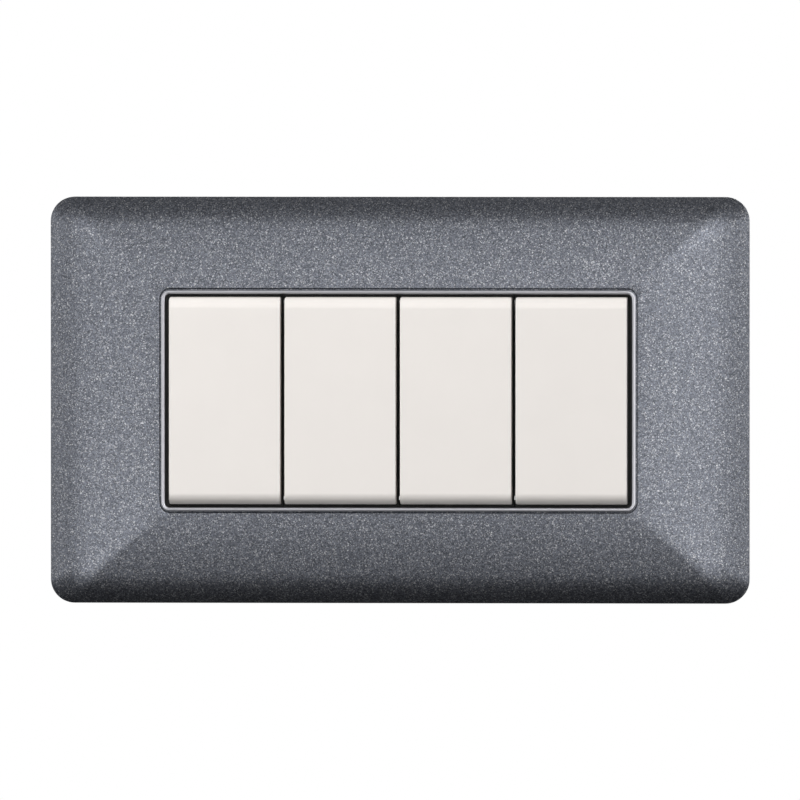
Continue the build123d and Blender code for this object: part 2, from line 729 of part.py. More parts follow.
def make_upper_terminal():
    x, _ = UPPER_TERMINAL
    with BuildPart() as upper_terminal:
        with BuildSketch(at_depth(STRIP_FRONT)):
            area(
                (x - TERMINAL_PAD / 2, x + TERMINAL_PAD / 2),
                (CONTACT_ARM + CONTACT_PAD / 2, TERMINAL_END),
            )
            area((-CONTACT_PAD / 2, CONTACT_PAD / 2), (CONTACT_ARM - CONTACT_PAD / 2, TERMINAL_REACH))
            terminal_hole(UPPER_TERMINAL)
            with Locations((0, CONTACT_ARM)):
                Circle(RIVET_SHANK, mode=Mode.SUBTRACT)
        extrude(amount=-STRIP_THICKNESS)
    return upper_terminal.part


def make_lower_terminal():
    x, _ = LOWER_TERMINAL
    with BuildPart() as lower_terminal:
        with BuildSketch(at_depth(STRIP_FRONT)):
            area((x - TERMINAL_PAD / 2, x + TERMINAL_PAD / 2), (-TERMINAL_END, -CONTACT_ARM))
            area(
                (-CONTACT_PAD / 2, CONTACT_PAD / 2),
                (-CONTACT_ARM - 0.75 * CONTACT_PAD, -CONTACT_ARM + CONTACT_PAD / 2),
            )
            terminal_hole(LOWER_TERMINAL)
            with Locations((0, -CONTACT_ARM)):
                Circle(RIVET_SHANK, mode=Mode.SUBTRACT)
        extrude(amount=-STRIP_THICKNESS)
    return lower_terminal.part


def make_common_terminal():
    """Strip with two upright cradle walls. Their notches carry the blade's ears."""
    x, _ = COMMON_TERMINAL
    inner = BLADE_WIDTH / 2 + CRADLE_GAP
    outer = inner + CRADLE_WALL
    pad_top = -CONTACT_ARM - CONTACT_PAD + CRADLE_GAP
    with BuildPart() as common_terminal:
        with BuildSketch(at_depth(STRIP_FRONT)):
            area((-outer, outer), (-CRADLE_HALF_HEIGHT, CRADLE_HALF_HEIGHT))
            area((inner, x + TERMINAL_PAD / 2), (-TERMINAL_REACH, CRADLE_HALF_HEIGHT))
            area((x - TERMINAL_PAD / 2, x + TERMINAL_PAD / 2), (-TERMINAL_END, pad_top))
            terminal_hole(COMMON_TERMINAL)
        extrude(amount=-STRIP_THICKNESS)
        for side in (-1, 1):
            wall_x = tuple(sorted((side * inner, side * outer)))
            block(
                wall_x,
                (BLADE_PIVOT - CRADLE_LIP, STRIP_BACK),
                (-CRADLE_HALF_HEIGHT, CRADLE_HALF_HEIGHT),
            )
        notch = EAR_RADIUS + EAR_CLEARANCE
        with BuildSketch(Plane.YZ):
            with Locations((BLADE_PIVOT, 0)):
                Circle(notch)
            with Locations((BLADE_PIVOT - CRADLE_LIP / 2, 0)):
                Rectangle(CRADLE_LIP, 2 * notch)
        extrude(amount=outer, both=True, mode=Mode.SUBTRACT)
    return common_terminal.part


# Terminal screws and clamp plates


def make_terminal_screws():
    head_back = CLAMP_BACK + TERMINAL_SCREW_HEAD_HEIGHT
    tip = STRIP_FRONT - TERMINAL_SCREW_OVERRUN
    with BuildPart() as terminal_screws:
        with BuildSketch(at_depth(CLAMP_BACK)):
            with Locations(*TERMINALS):
                Circle(TERMINAL_SCREW_HEAD)
        extrude(amount=-TERMINAL_SCREW_HEAD_HEIGHT)
        chamfer(
            terminal_screws.edges().group_by(Axis.Y)[-1], length=TERMINAL_SCREW_HEAD_HEIGHT / 5
        )
        with BuildSketch(at_depth(tip)):
            with Locations(*TERMINALS):
                Circle(TERMINAL_SCREW_RADIUS)
        extrude(amount=tip - CLAMP_BACK)
        with BuildSketch(at_depth(head_back)):
            with Locations(*TERMINALS):
                Rectangle(2 * TERMINAL_SCREW_HEAD, DRIVE_SLOT_WIDTH)
        extrude(amount=DRIVE_SLOT_DEPTH, mode=Mode.SUBTRACT)
    return terminal_screws.part


def make_clamp_plates():
    """Square washers, with a groove across the side that bites the wires."""
    with BuildPart() as clamp_plates:
        with BuildSketch(at_depth(CLAMP_FRONT)):
            with Locations(*TERMINALS):
                Rectangle(CLAMP_PLATE_WIDTH, CLAMP_PLATE_LENGTH)
                Circle(TERMINAL_SCREW_RADIUS + CLAMP_HOLE_CLEARANCE, mode=Mode.SUBTRACT)
        extrude(amount=-CLAMP_PLATE_THICKNESS)
        for x, z in TERMINALS:
            for side in (-1, 1):
                groove_z = z + side * (CLAMP_PLATE_LENGTH / 2 - 1.5 * CLAMP_GROOVE)
                block(
                    (x - CLAMP_PLATE_WIDTH / 2, x + CLAMP_PLATE_WIDTH / 2),
                    (CLAMP_FRONT, CLAMP_FRONT + CLAMP_GROOVE / 2),
                    (groove_z - CLAMP_GROOVE / 2, groove_z + CLAMP_GROOVE / 2),
                    mode=Mode.SUBTRACT,
                )
    return clamp_plates.part


# Switch housing and base


def make_housing():
    with BuildPart() as housing:
        with BuildSketch(at_forward(FRAME_THICKNESS)):
            RectangleRounded(FLANGE_WIDTH, FLANGE_HEIGHT, FLANGE_CORNER)
        extrude(amount=FLANGE_THICKNESS)
        with BuildSketch(at_depth(HOUSING_DEPTH)):
            RectangleRounded(HOUSING_WIDTH, HOUSING_HEIGHT, HOUSING_CORNER)
        extrude(amount=HOUSING_DEPTH + FRAME_THICKNESS)
        # Claws that spring behind the support frame's rails
        for side in (-1, 1):
            wall = side * HOUSING_HEIGHT / 2
            for x in (-CLAW_SPACING / 2, CLAW_SPACING / 2):
                with BuildSketch(Plane.YZ.offset(x - CLAW_WIDTH / 2)):
                    with BuildLine():
                        Polyline(
                            (CLAW_CLEARANCE, wall - side * HOUSING_WALL / 2),
                            (CLAW_CLEARANCE, wall + side * CLAW_CATCH),
                            (CLAW_CLEARANCE + CLAW_RAMP, wall),
                            (CLAW_CLEARANCE + CLAW_RAMP, wall - side * HOUSING_WALL / 2),
                            close=True,
                        )
                    make_face()
                extrude(amount=CLAW_WIDTH)
        # Ribs down the sides that keep neighbouring modules apart
        rib_reach = MODULE_PITCH / 2 - SPACER_RIB_CLEARANCE
        with BuildSketch(at_depth(HOUSING_DEPTH - SPACER_RIB_END)):
            for z in (-SPACER_RIB_SPACING / 2, SPACER_RIB_SPACING / 2):
                area((-rib_reach, rib_reach), (z - SPACER_RIB_WIDTH / 2, z + SPACER_RIB_WIDTH / 2))
        extrude(amount=HOUSING_DEPTH - SPACER_RIB_END + FRAME_THICKNESS)
        # Inside: open at the front, with a partition in front of the contacts
        with BuildSketch(at_forward(FLANGE_FRONT)):
            Rectangle(HOUSING_INSIDE_WIDTH, HOUSING_INSIDE_HEIGHT)
        extrude(amount=-(FLANGE_FRONT + PARTITION_DEPTH), mode=Mode.SUBTRACT)
        with BuildSketch(at_depth(PARTITION_DEPTH + PARTITION_THICKNESS)):
            Rectangle(HOUSING_INSIDE_WIDTH, HOUSING_INSIDE_HEIGHT)
        extrude(
            amount=-(HOUSING_DEPTH - PARTITION_DEPTH - PARTITION_THICKNESS), mode=Mode.SUBTRACT
        )
        with BuildSketch(at_depth(PARTITION_DEPTH)):
            Rectangle(*PARTITION_WINDOW)
        extrude(amount=-PARTITION_THICKNESS, mode=Mode.SUBTRACT)
        # Bearings for the key's trunnions
        with BuildSketch(Plane.YZ):
            with Locations((-PIVOT_FORWARD, 0)):
                Circle(TRUNNION_RADIUS + TRUNNION_CLEARANCE)
        extrude(amount=HOUSING_WIDTH, both=True, mode=Mode.SUBTRACT)
        # Slits that free each claw from the wall
        for side in (-1, 1):
            wall = side * HOUSING_HEIGHT / 2
            slit_z = tuple(sorted((wall - side * HOUSING_WALL, wall + side * CLAW_CATCH)))
            for x in (-CLAW_SPACING / 2, CLAW_SPACING / 2):
                for edge in (-1, 1):
                    near = x + edge * CLAW_WIDTH / 2
                    block(
                        tuple(sorted((near, near + edge * CLAW_SLIT))),
                        (-CLAW_SLIT_START, CLAW_SLIT_LENGTH - CLAW_SLIT_START),
                        slit_z,
                        mode=Mode.SUBTRACT,
                    )
        # Windows that the base's latches snap into
        bump_front = HOUSING_DEPTH - LATCH_REACH + LATCH_CLEARANCE
        for z in (-LATCH_SPACING / 2, LATCH_SPACING / 2):
            half = LATCH_WIDTH / 2 + LATCH_CLEARANCE
            block(
                (-HOUSING_WIDTH, HOUSING_WIDTH),
                (
                    bump_front - 2 * LATCH_CLEARANCE,
                    bump_front + LATCH_BUMP_LENGTH + LATCH_CLEARANCE,
                ),
                (z - half, z + half),
                mode=Mode.SUBTRACT,
            )
    return housing.part


def make_base():
    with BuildPart() as base:
        with BuildSketch(at_depth(HOUSING_DEPTH)):
            RectangleRounded(HOUSING_WIDTH, HOUSING_HEIGHT, HOUSING_CORNER)
        extrude(amount=HOUSING_DEPTH - BASE_BACK)
        fillet(base.edges().group_by(Axis.Y)[-1], radius=BASE_REAR_ROUND * 0.9)
        # Barrier between the two lower terminals, and its upper fellow beside the single one
        with BuildSketch(at_depth(BASE_BACK - BARRIER_HEIGHT)):
            area(
                (-BARRIER_THICKNESS / 2, BARRIER_THICKNESS / 2),
                (-CHAMBER_END, CHAMBER_LENGTH - TERMINAL_REACH),
            )
            area(
                (-HOUSING_INSIDE_WIDTH / 2, HOUSING_INSIDE_WIDTH / 2),
                (-BARRIER_THICKNESS / 2, BARRIER_THICKNESS / 2),
            )
        extrude(amount=-2 * BARRIER_HEIGHT)
        # Tray for the strips
        with BuildSketch(at_depth(HOUSING_DEPTH)):
            Rectangle(HOUSING_INSIDE_WIDTH, HOUSING_INSIDE_HEIGHT)
        extrude(amount=HOUSING_DEPTH - STRIP_BACK, mode=Mode.SUBTRACT)
        # Terminal chambers, screw wells and wire mouths
        for x, z in TERMINALS:
            side = 1 if z > 0 else -1
            chamber_z = tuple(sorted((side * (CHAMBER_END - CHAMBER_LENGTH), side * CHAMBER_END)))
            chamber_x = (x - CHAMBER_WIDTH / 2, x + CHAMBER_WIDTH / 2)
            block(chamber_x, (STRIP_BACK, CHAMBER_BACK), chamber_z, mode=Mode.SUBTRACT)
            mouth_middle = STRIP_BACK + WIRE_GAP / 2
            mouth_z = tuple(sorted((side * CHAMBER_END, side * HOUSING_HEIGHT / 2)))
            block(
                chamber_x,
                (mouth_middle - MOUTH_HEIGHT / 2, mouth_middle + MOUTH_HEIGHT / 2),
                mouth_z,
                mode=Mode.SUBTRACT,
            )
            with BuildSketch(Plane.XY.offset(side * HOUSING_HEIGHT / 2)):
                with Locations((x, mouth_middle)):
                    Rectangle(CHAMBER_WIDTH + 2 * MOUTH_FUNNEL, MOUTH_HEIGHT + 2 * MOUTH_FUNNEL)
            extrude(amount=-side * MOUTH_FUNNEL, taper=FUNNEL_ANGLE, mode=Mode.SUBTRACT)
        with BuildSketch(at_depth(CHAMBER_BACK)):
            with Locations(*TERMINALS):
                Circle(TERMINAL_SCREW_HEAD + WELL_CLEARANCE)
        extrude(amount=-(WELL_LENGTH + 2 * BARRIER_HEIGHT), mode=Mode.SUBTRACT)
        # Latches that reach into the housing and snap into its windows
        latch_outer = HOUSING_INSIDE_WIDTH / 2 - LATCH_CLEARANCE
        latch_inner = latch_outer - LATCH_THICKNESS
        bump_front = HOUSING_DEPTH - LATCH_REACH + LATCH_CLEARANCE
        for side in (-1, 1):
            for z in (-LATCH_SPACING / 2, LATCH_SPACING / 2):
                latch_z = (z - LATCH_WIDTH / 2, z + LATCH_WIDTH / 2)
                block(
                    tuple(sorted((side * latch_inner, side * latch_outer))),
                    (HOUSING_DEPTH - LATCH_REACH, HOUSING_DEPTH),
                    latch_z,
                )
                block(
                    tuple(sorted((side * latch_inner, side * (HOUSING_INSIDE_WIDTH / 2)))),
                    (HOUSING_DEPTH, STRIP_BACK),
                    latch_z,
                )
                with BuildSketch(Plane.XY.offset(latch_z[0])):
                    with BuildLine():
                        Polyline(
                            (side * latch_inner, bump_front),
                            (side * latch_outer, bump_front),
                            (side * (latch_outer + LATCH_BUMP), bump_front + LATCH_BUMP_LENGTH),
                            (side * latch_inner, bump_front + LATCH_BUMP_LENGTH),
                            close=True,
                        )
                    make_face()
                extrude(amount=LATCH_WIDTH)
    return base.part


def write(piece, name):
    piece.label = name
    export_step(piece, f"parts/{name}.step")


def main():
    os.makedirs("parts", exist_ok=True)
    write(make_cover_plate(), "cover_plate")
    write(make_support_frame(), "support_frame")
    write(make_box_screws(), "box_screws")
    module_pieces = {
        "key": make_key(),
        "plunger": make_plunger(),
        "plunger_spring": make_spring(),
        "contact_blade": make_contact_blade(),
        "moving_contacts": make_moving_contacts(),
        "fixed_contacts": make_fixed_contacts(),
        "common_terminal": make_common_terminal(),
        "upper_terminal": make_upper_terminal(),
        "lower_terminal": make_lower_terminal(),
        "clamp_plates": make_clamp_plates(),
        "terminal_screws": make_terminal_screws(),
        "housing": make_housing(),
        "base": make_base(),
    }
    for number, x in enumerate(MODULE_XS, 1):
        for name, piece in module_pieces.items():
            write(piece.moved(Location((x, 0, 0))), f"{name}_{number}")


main()
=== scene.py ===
import json
import math

import bmesh
import bpy
from mathutils import Matrix, Vector


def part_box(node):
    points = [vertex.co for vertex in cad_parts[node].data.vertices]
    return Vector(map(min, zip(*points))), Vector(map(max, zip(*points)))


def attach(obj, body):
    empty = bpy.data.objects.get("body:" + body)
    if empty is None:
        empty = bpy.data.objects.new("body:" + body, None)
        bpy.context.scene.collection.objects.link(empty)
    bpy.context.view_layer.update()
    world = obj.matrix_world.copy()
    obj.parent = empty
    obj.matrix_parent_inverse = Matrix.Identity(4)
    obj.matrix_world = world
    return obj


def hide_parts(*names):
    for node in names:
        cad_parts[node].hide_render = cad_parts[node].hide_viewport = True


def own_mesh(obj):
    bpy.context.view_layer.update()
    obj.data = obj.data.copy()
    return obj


bl_info = {
    "name": "Switch Plate",
    "version": (1, 0, 0),
    "blender": (4, 5, 0),
    "location": "View3D > Sidebar > Switch Plate",
    "description": "Builds a four-key wall switch plate round its packed frame",
    "category": "Object",
}

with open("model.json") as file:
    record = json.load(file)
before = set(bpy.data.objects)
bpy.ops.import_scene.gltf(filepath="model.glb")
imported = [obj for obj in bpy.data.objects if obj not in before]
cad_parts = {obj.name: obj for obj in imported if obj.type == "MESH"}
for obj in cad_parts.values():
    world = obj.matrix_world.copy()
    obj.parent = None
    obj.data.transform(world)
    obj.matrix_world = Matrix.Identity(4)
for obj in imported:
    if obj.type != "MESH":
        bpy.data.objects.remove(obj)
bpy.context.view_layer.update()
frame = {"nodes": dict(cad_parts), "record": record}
NODES = frame["nodes"]
RECORD = frame["record"]
MM = 0.001
MERGE = 0.0005 * MM
# Bridging and cutting are done at this many times the size, where their own tolerances are small
ENLARGED = 1000
# Facets of a full turn, a thread's turn, a spring's turn, a rounded corner, the crown and the rim
ROUND_STEPS = 48
THREAD_STEPS = 32
SPRING_STEPS = 36
CORNER_STEPS = 14
CROWN_STEPS = 18
RIM_STEPS = 12


def body_of_node(node):
    """Name of the body that a node of the frame belongs to."""
    bodies = RECORD["behaviour"]["bodies"]
    return next(body for body, members in bodies.items() if node in members)


def slot_of_node(node):
    """Name of the material slot that the record gives a node."""
    return next(part["material_slot"] for part in RECORD["subparts"] if part["node"] == node)


def joint_place(name):
    """Place of a hinge in the record, as a vector."""
    joints = RECORD["behaviour"]["joints"]
    return Vector(next(joint["pos_m"] for joint in joints if joint["name"] == name))


def middle(node):
    """Middle of a node's width."""
    low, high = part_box(node)
    return (low.x + high.x) / 2


PLATE_LOW, PLATE_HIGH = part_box("cover_plate")
FRAME_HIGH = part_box("support_frame")[1]
MODULES = sorted(name.removeprefix("key_") for name in NODES if name.startswith("key_"))
MODULE_XS = {number: middle(f"key_{number}") for number in MODULES}
FIRST = MODULES[0]
KEY_LOW, KEY_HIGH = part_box(f"key_{FIRST}")
KEY_FACE = -KEY_LOW.y
KEY_HALF_WIDTH = (KEY_HIGH.x - KEY_LOW.x) / 2
PIVOT = joint_place(f"key_{FIRST}_rock")


# Sizes and colours that a user would change


def length(name, description, millimetres):
    """A length whose default is given in millimetres."""
    return bpy.props.FloatProperty(
        name=name, description=description, default=millimetres * MM, unit="LENGTH"
    )


def angle(name, description, degrees):
    """An angle whose default is given in degrees."""
    return bpy.props.FloatProperty(
        name=name, description=description, default=math.radians(degrees), subtype="ANGLE"
    )


def colour(name, description, value):
    """A linear red, green and blue colour."""
    return bpy.props.FloatVectorProperty(
        name=name, description=description, default=value, subtype="COLOR"
    )


def amount(name, description, value):
    """A plain number, such as a share or a strength."""
    return bpy.props.FloatProperty(name=name, description=description, default=value)


class PlateSettings(bpy.types.PropertyGroup):
    corner: length("Corner", "Radius of the plate's outer corners", 4.7)
    crest_corner: length("Crest corner", "Radius of the crown's corners near the rim", 1.6)
    edge: length("Edge", "Height of the straight outer edge", 2.0)
    wall: length("Wall", "Thickness of the shell", 2.0)
    edge_slope: angle("Edge slope", "Slope of the crown at the outer edge", 58)
    shoulder_slope: angle("Shoulder slope", "Slope where the shoulder runs out", 15)
    crest_slope: angle("Crest slope", "Slope of the crown beside the rim", 6)
    shoulder_share: amount("Shoulder share", "Share of a wing's width in the shoulder", 0.3)
    rim_width: length("Rim width", "Width of the raised rim round the window", 0.75)
    rim_proud: length("Rim height", "Height of the rim above the crown", 0.3)
    groove_width: length("Groove width", "Width of the groove outside the rim", 0.3)
    groove_depth: length("Groove depth", "Depth of the groove below the crown", 0.35)
    groove_lip: length("Groove lip", "Rounding of the groove's outer edge", 0.14)
    window_width: length("Window width", "Clear width of the window", 90.94)
    window_height: length("Window height", "Clear height of the window", 41.56)
    window_corner: length("Window corner", "Radius of the window's corners", 0.95)
    skirt_back: length("Skirt back", "Distance from the wall to the window's skirt", 4.75)
    skirt_wall: length("Skirt wall", "Thickness of the skirt round the window", 1.4)
    ledge: length("Ledge", "How far the skirt's ledge covers the ends of the row of switches", 0.53)
    ledge_front: length("Ledge front", "Distance from the wall to the front of the ledge", 5.6)
    hook_spacing: length("Hook spacing", "Distance between the hooks of a side", 66)
    hook_width: length("Hook width", "Width of a snap hook", 7)
    hook_thickness: length("Hook thickness", "Thickness of a snap hook", 1.3)
    hook_catch: length("Hook catch", "How far a hook reaches behind the frame", 0.9)
    hook_clearance: length("Hook clearance", "Gap between a hook and the frame's edge", 0.25)
    hook_head: length("Hook head", "Height of a hook's catch", 0.8)
    hook_tip: length("Hook tip", "Distance from the wall to the hooks", 0.2)
    rib: length("Rib", "Thickness of the ribs over the modules", 1.2)
    rib_start: length("Rib start", "Distance from the middle to the ribs", 24.2)
    rib_back: length("Rib back", "Distance from the wall to the ribs", 3.0)
    post: length("Post", "Radius of the four corner posts", 1.6)
    post_inset: length("Post inset", "Distance from the frame's edges to the posts", 5.5)
    post_back: length("Post back", "Distance from the wall to the posts", 2.5)
    pry_width: length("Pry slot", "Width of the slot for prising the plate off", 9)
    pry_height: length("Pry slot height", "Height of the slot for prising", 1.1)
    colour: colour("Colour", "Dark blue-grey of the lacquer", (0.094, 0.100, 0.117))
    flake_colour: colour("Flake colour", "Pale flakes in the lacquer", (0.56, 0.56, 0.57))
    flake_size: length("Flake size", "Spacing of the flakes in the lacquer", 0.19)
    rim_colour: colour("Rim colour", "Bright satin of the rim", (0.31, 0.31, 0.33))


class KeySettings(bpy.types.PropertyGroup):
    skirt: length("Skirt", "Depth of the key's sides", 4.0)
    wall: length("Wall", "Thickness of the key's shell", 1.4)
    end_round: length("End round", "Radius of the rounds at the key's ends", 2.2)
    end_draft: angle("End draft", "Lean of the key's ends towards its face", 1.5)
    side_round: length("Side round", "Radius of the rounds along the sides", 0.3)
    arm: length("Arm", "Half the width of the two pivot arms", 2.8)
    arm_thickness: length("Arm thickness", "Thickness of the pivot arms", 1.3)
    arm_reach: length("Arm reach", "Distance from the middle to an arm's outside", 9.3)
    trunnion: length("Trunnion", "Radius of the pivot pins", 1.5)
    trunnion_length: length("Trunnion length", "Length of the pivot pins", 1.1)
    guide: length("Guide", "Outer radius of the plunger's guide tube", 3.0)
    bore: length("Bore", "Radius of the guide tube's bore", 1.85)
    bore_top: length("Bore top", "Distance from the wall to the bore's end", 5.6)
    rib: length("Rib", "Thickness of the ribs", 1.0)
    rib_length: length("Rib length", "Length of the long rib", 28)
    rib_drop: length("Rib depth", "Depth of the long rib", 3.0)
    cross_spacing: length("Cross rib spacing", "Distance between the cross ribs", 22)
    cross_drop: length("Cross rib depth", "Depth of the cross ribs", 2.0)
    colour: colour("Colour", "Creamy white of the keys", (0.84, 0.795, 0.755))
    roughness: amount("Roughness", "Roughness of the keys' satin surface", 0.34)


class ScrewSettings(bpy.types.PropertyGroup):
    pitch: length("Pitch", "Pitch of the screw threads", 0.7)
    thread_depth: length("Thread depth", "Depth of the screw threads", 0.33)
    slot: length("Slot", "Width of the drive slots", 0.9)
    slot_depth: length("Slot depth", "Depth of the drive slots", 0.8)
    box_thread: length("Box screw", "Radius of the box screws' thread", 1.75)
    box_neck: length("Box screw neck", "Radius of the plain neck", 1.5)
    box_head: length("Box screw head", "Height of the box screws' heads", 1.9)
    box_point: length("Box screw point", "Length of the point", 2.0)
    terminal_thread: length("Terminal screw", "Radius of the terminal screws' thread", 1.7)
    terminal_radius: length("Terminal head radius", "Radius of a terminal screw's head", 2.9)
    terminal_head: length("Terminal head", "Height of a terminal screw's head", 2.4)
    colour: colour("Colour", "Zinc of the screws and clamp plates", (0.62, 0.61, 0.58))


class SpringSettings(bpy.types.PropertyGroup):
    wire: length("Wire", "Radius of the spring wire", 0.2)
    turns: bpy.props.IntProperty(name="Turns", description="Turns of a spring", default=6)
    travel: length("Travel", "How far a spring is pressed", 0.6)


class StageSettings(bpy.types.PropertyGroup):
    floor_drop: length("Floor drop", "Depth of the floor below the plate's middle", 160)
    floor_radius: length("Floor radius", "Radius of the round floor", 1200)
    camera_distance: length("Camera distance", "Distance from the camera", 4000)
    camera_side: angle("Camera side", "How far right of square-on the camera stands", 2.8)
    camera_rise: angle("Camera rise", "How far above square-on the camera stands", 1.4)
    view_width: length("View width", "Width that the picture takes in", 155.9)
    surroundings: amount("Surroundings", "Light of the surroundings on matt surfaces", 0.26)


# Finishes


class Finish:
    """A material's nodes on Object coordinates, with short calls to add and join them."""

    def __init__(self, name):
        self.material = bpy.data.materials.new(name)
        self.material.use_nodes = True
        self.tree = self.material.node_tree
        self.tree.nodes.clear()
        output = self.add("ShaderNodeOutputMaterial")
        self.surface = self.add("ShaderNodeBsdfPrincipled")
        self.link(self.surface.outputs["BSDF"], output.inputs["Surface"])
        self.place = self.add("ShaderNodeTexCoord").outputs["Object"]

    def add(self, kind, **settings):
        node = self.tree.nodes.new(kind)
        for key, value in settings.items():
            setattr(node, key, value)
        return node

    def link(self, source, target):
        self.tree.links.new(source, target)

    def feed(self, socket, value):
        """Sets a socket, or links it if the value is another node's output."""
        if isinstance(value, bpy.types.NodeSocket):
            self.link(value, socket)
        elif isinstance(value, tuple):
            socket.default_value = (*value, 1.0)
        else:
            socket.default_value = value

    def set(self, socket, value):
        self.feed(self.surface.inputs[socket], value)

    def noise(self, size, detail=2.0, roughness=0.5):
        node = self.add("ShaderNodeTexNoise")
        node.inputs["Scale"].default_value = 1 / size
        node.inputs["Detail"].default_value = detail
        node.inputs["Roughness"].default_value = roughness
        self.link(self.place, node.inputs["Vector"])
        return node.outputs["Fac"]

    def cells(self, size):
        """Two random values for each cell of a cell pattern."""
        node = self.add("ShaderNodeTexVoronoi")
        node.inputs["Scale"].default_value = 1 / size
        self.link(self.place, node.inputs["Vector"])
        parts = self.add("ShaderNodeSeparateColor")
        self.link(node.outputs["Color"], parts.inputs["Color"])
        return parts.outputs["Red"], parts.outputs["Green"]

    def cloud(self, size):
        """Soft patches that run from nought to one."""
        return self.span(self.noise(size), 0.3, 0.7)

    def span(self, value, low, high, out_low=0.0, out_high=1.0):
        node = self.add("ShaderNodeMapRange")
        names = ("Value", "From Min", "From Max", "To Min", "To Max")
        for name, number in zip(names, (value, low, high, out_low, out_high)):
            self.feed(node.inputs[name], number)
        return node.outputs["Result"]

    def math(self, operation, first, second=0.0):
        node = self.add("ShaderNodeMath", operation=operation)
        self.feed(node.inputs[0], first)
        self.feed(node.inputs[1], second)
        return node.outputs[0]

    def mix(self, factor, first, second):
        node = self.add("ShaderNodeMix", data_type="RGBA")
        for name, value in (("Factor_Float", factor), ("A_Color", first), ("B_Color", second)):
            socket = next(entry for entry in node.inputs if entry.identifier == name)
            self.feed(socket, value)
        return next(entry for entry in node.outputs if entry.identifier == "Result_Color")

    def bump(self, height, depth, strength):
        node = self.add("ShaderNodeBump")
        node.inputs["Strength"].default_value = strength
        node.inputs["Distance"].default_value = depth
        self.link(height, node.inputs["Height"])
        self.set("Normal", node.outputs["Normal"])

    def vary_roughness(self, pattern, low, high):
        """Lets the roughness follow a noise between two values."""
        self.set("Roughness", self.span(pattern, 0.2, 0.8, low, high))


def scaled(value, factor):
    return tuple(part * factor for part in value)


def grey(value):
    return (value, value, value)


def flake_lacquer(name):
    """Dark blue-grey lacquer full of fine flakes, with the raised rim wiped to a bright satin."""
    settings = bpy.context.scene.switch_plate
    finish = Finish(name)
    pale = tuple(settings.flake_colour)
    darkest, lightest = 0.50, 1.50
    # A cell whose random value is over the first number holds a flake, at most as pale as the second
    faint_from, faint_most = 0.82, 0.42
    spark_from, spark_most = 0.94, 0.60
    glossiest, roughest, rim_roughness = 0.38, 0.50, 0.34
    metallic = 0.85
    # Bare plastic inside the window, made near black: partly the moulding's own black, partly painted
    # shade in the recess
    bare_plastic_and_shade = grey(0.010)
    tone, sheen = finish.cells(settings.flake_size)
    spark_size = 1.05 * settings.flake_size
    spark, _ = finish.cells(spark_size)
    base = finish.mix(tone, scaled(settings.colour, darkest), scaled(settings.colour, lightest))
    base = finish.mix(finish.span(sheen, faint_from, 1.0, 0, faint_most), base, pale)
    base = finish.mix(finish.span(spark, spark_from, 1.0, 0, spark_most), base, pale)
    rim, bare_and_shaded = lacquer_masks(finish, settings)
    coated = finish.mix(rim, base, tuple(settings.rim_colour))
    finish.set("Base Color", finish.mix(bare_and_shaded, coated, bare_plastic_and_shade))
    rough = finish.span(sheen, 0, 1, glossiest, roughest)
    finish.set("Roughness", finish.span(rim, 0, 1, rough, rim_roughness))
    finish.set("Metallic", finish.span(bare_and_shaded, 0, 1, metallic, 0))
    finish.bump(finish.noise(0.22 * MM), depth=0.010 * MM, strength=0.6)
    return finish.material


def lacquer_masks(finish, settings):
    """One mask for the top of the rim, and one for the bare plastic inside the window, whose near-black
    colour is also painted shade in the window's recess.
    """
    parts = finish.add("ShaderNodeSeparateXYZ")
    finish.link(finish.place, parts.inputs["Vector"])
    window = (settings.window_width / 2, settings.window_height / 2)
    outs = [
        finish.math("SUBTRACT", finish.math("ABSOLUTE", parts.outputs[axis]), half)
        for axis, half in zip(("X", "Z"), window)
    ]
    out = finish.math("MAXIMUM", *outs)
    # Each pair is where a mask starts and where it is whole
    rim_edge = (settings.rim_width, 0.9 * settings.rim_width)
    window_edge = (0.06 * MM, 0.03 * MM)
    crest = -PLATE_LOW.y - settings.rim_proud
    flank = (-crest, -crest - 0.3 * settings.rim_proud)
    recess = (-crest, -crest + 0.1 * MM)
    near, inside = finish.span(out, *rim_edge), finish.span(out, *window_edge)
    front = finish.span(parts.outputs["Y"], *flank)
    behind = finish.span(parts.outputs["Y"], *recess)
    return finish.math("MULTIPLY", near, front), finish.math("MULTIPLY", inside, behind)


def key_moulding(name):
    """Creamy-white satin plastic with a faint mould grain."""
    settings = bpy.context.scene.switch_keys
    finish = Finish(name)
    cream = tuple(settings.colour)
    darker = scaled(cream, 0.985)
    finish.set("Base Color", finish.mix(finish.cloud(9 * MM), darker, cream))
    grain = finish.noise(0.3 * MM, detail=3.0)
    unevenness = 0.03
    finish.vary_roughness(grain, settings.roughness - unevenness, settings.roughness + unevenness)
    finish.bump(grain, depth=0.002 * MM, strength=0.5)
    return finish.material


def dark_moulding(name, colour, grain_size):
    """Dark plastic with a fine spark-eroded grain."""
    finish = Finish(name)
    paler = scaled(colour, 1.35)
    finish.set("Base Color", finish.mix(finish.cloud(6 * MM), colour, paler))
    grain = finish.noise(grain_size, detail=4.0, roughness=0.6)
    finish.vary_roughness(grain, 0.42, 0.60)
    finish.bump(grain, depth=0.02 * MM, strength=0.5)
    return finish.material


def pale_moulding(name):
    """Natural slippery plastic of the plungers."""
    finish = Finish(name)
    patches = finish.noise(1.5 * MM)
    darker, paler = (0.72, 0.71, 0.66), (0.80, 0.79, 0.74)
    glossiest, roughest = 0.3, 0.42
    finish.set("Base Color", finish.mix(patches, darker, paler))
    finish.set("Roughness", finish.span(patches, 0, 1, glossiest, roughest))
    return finish.material


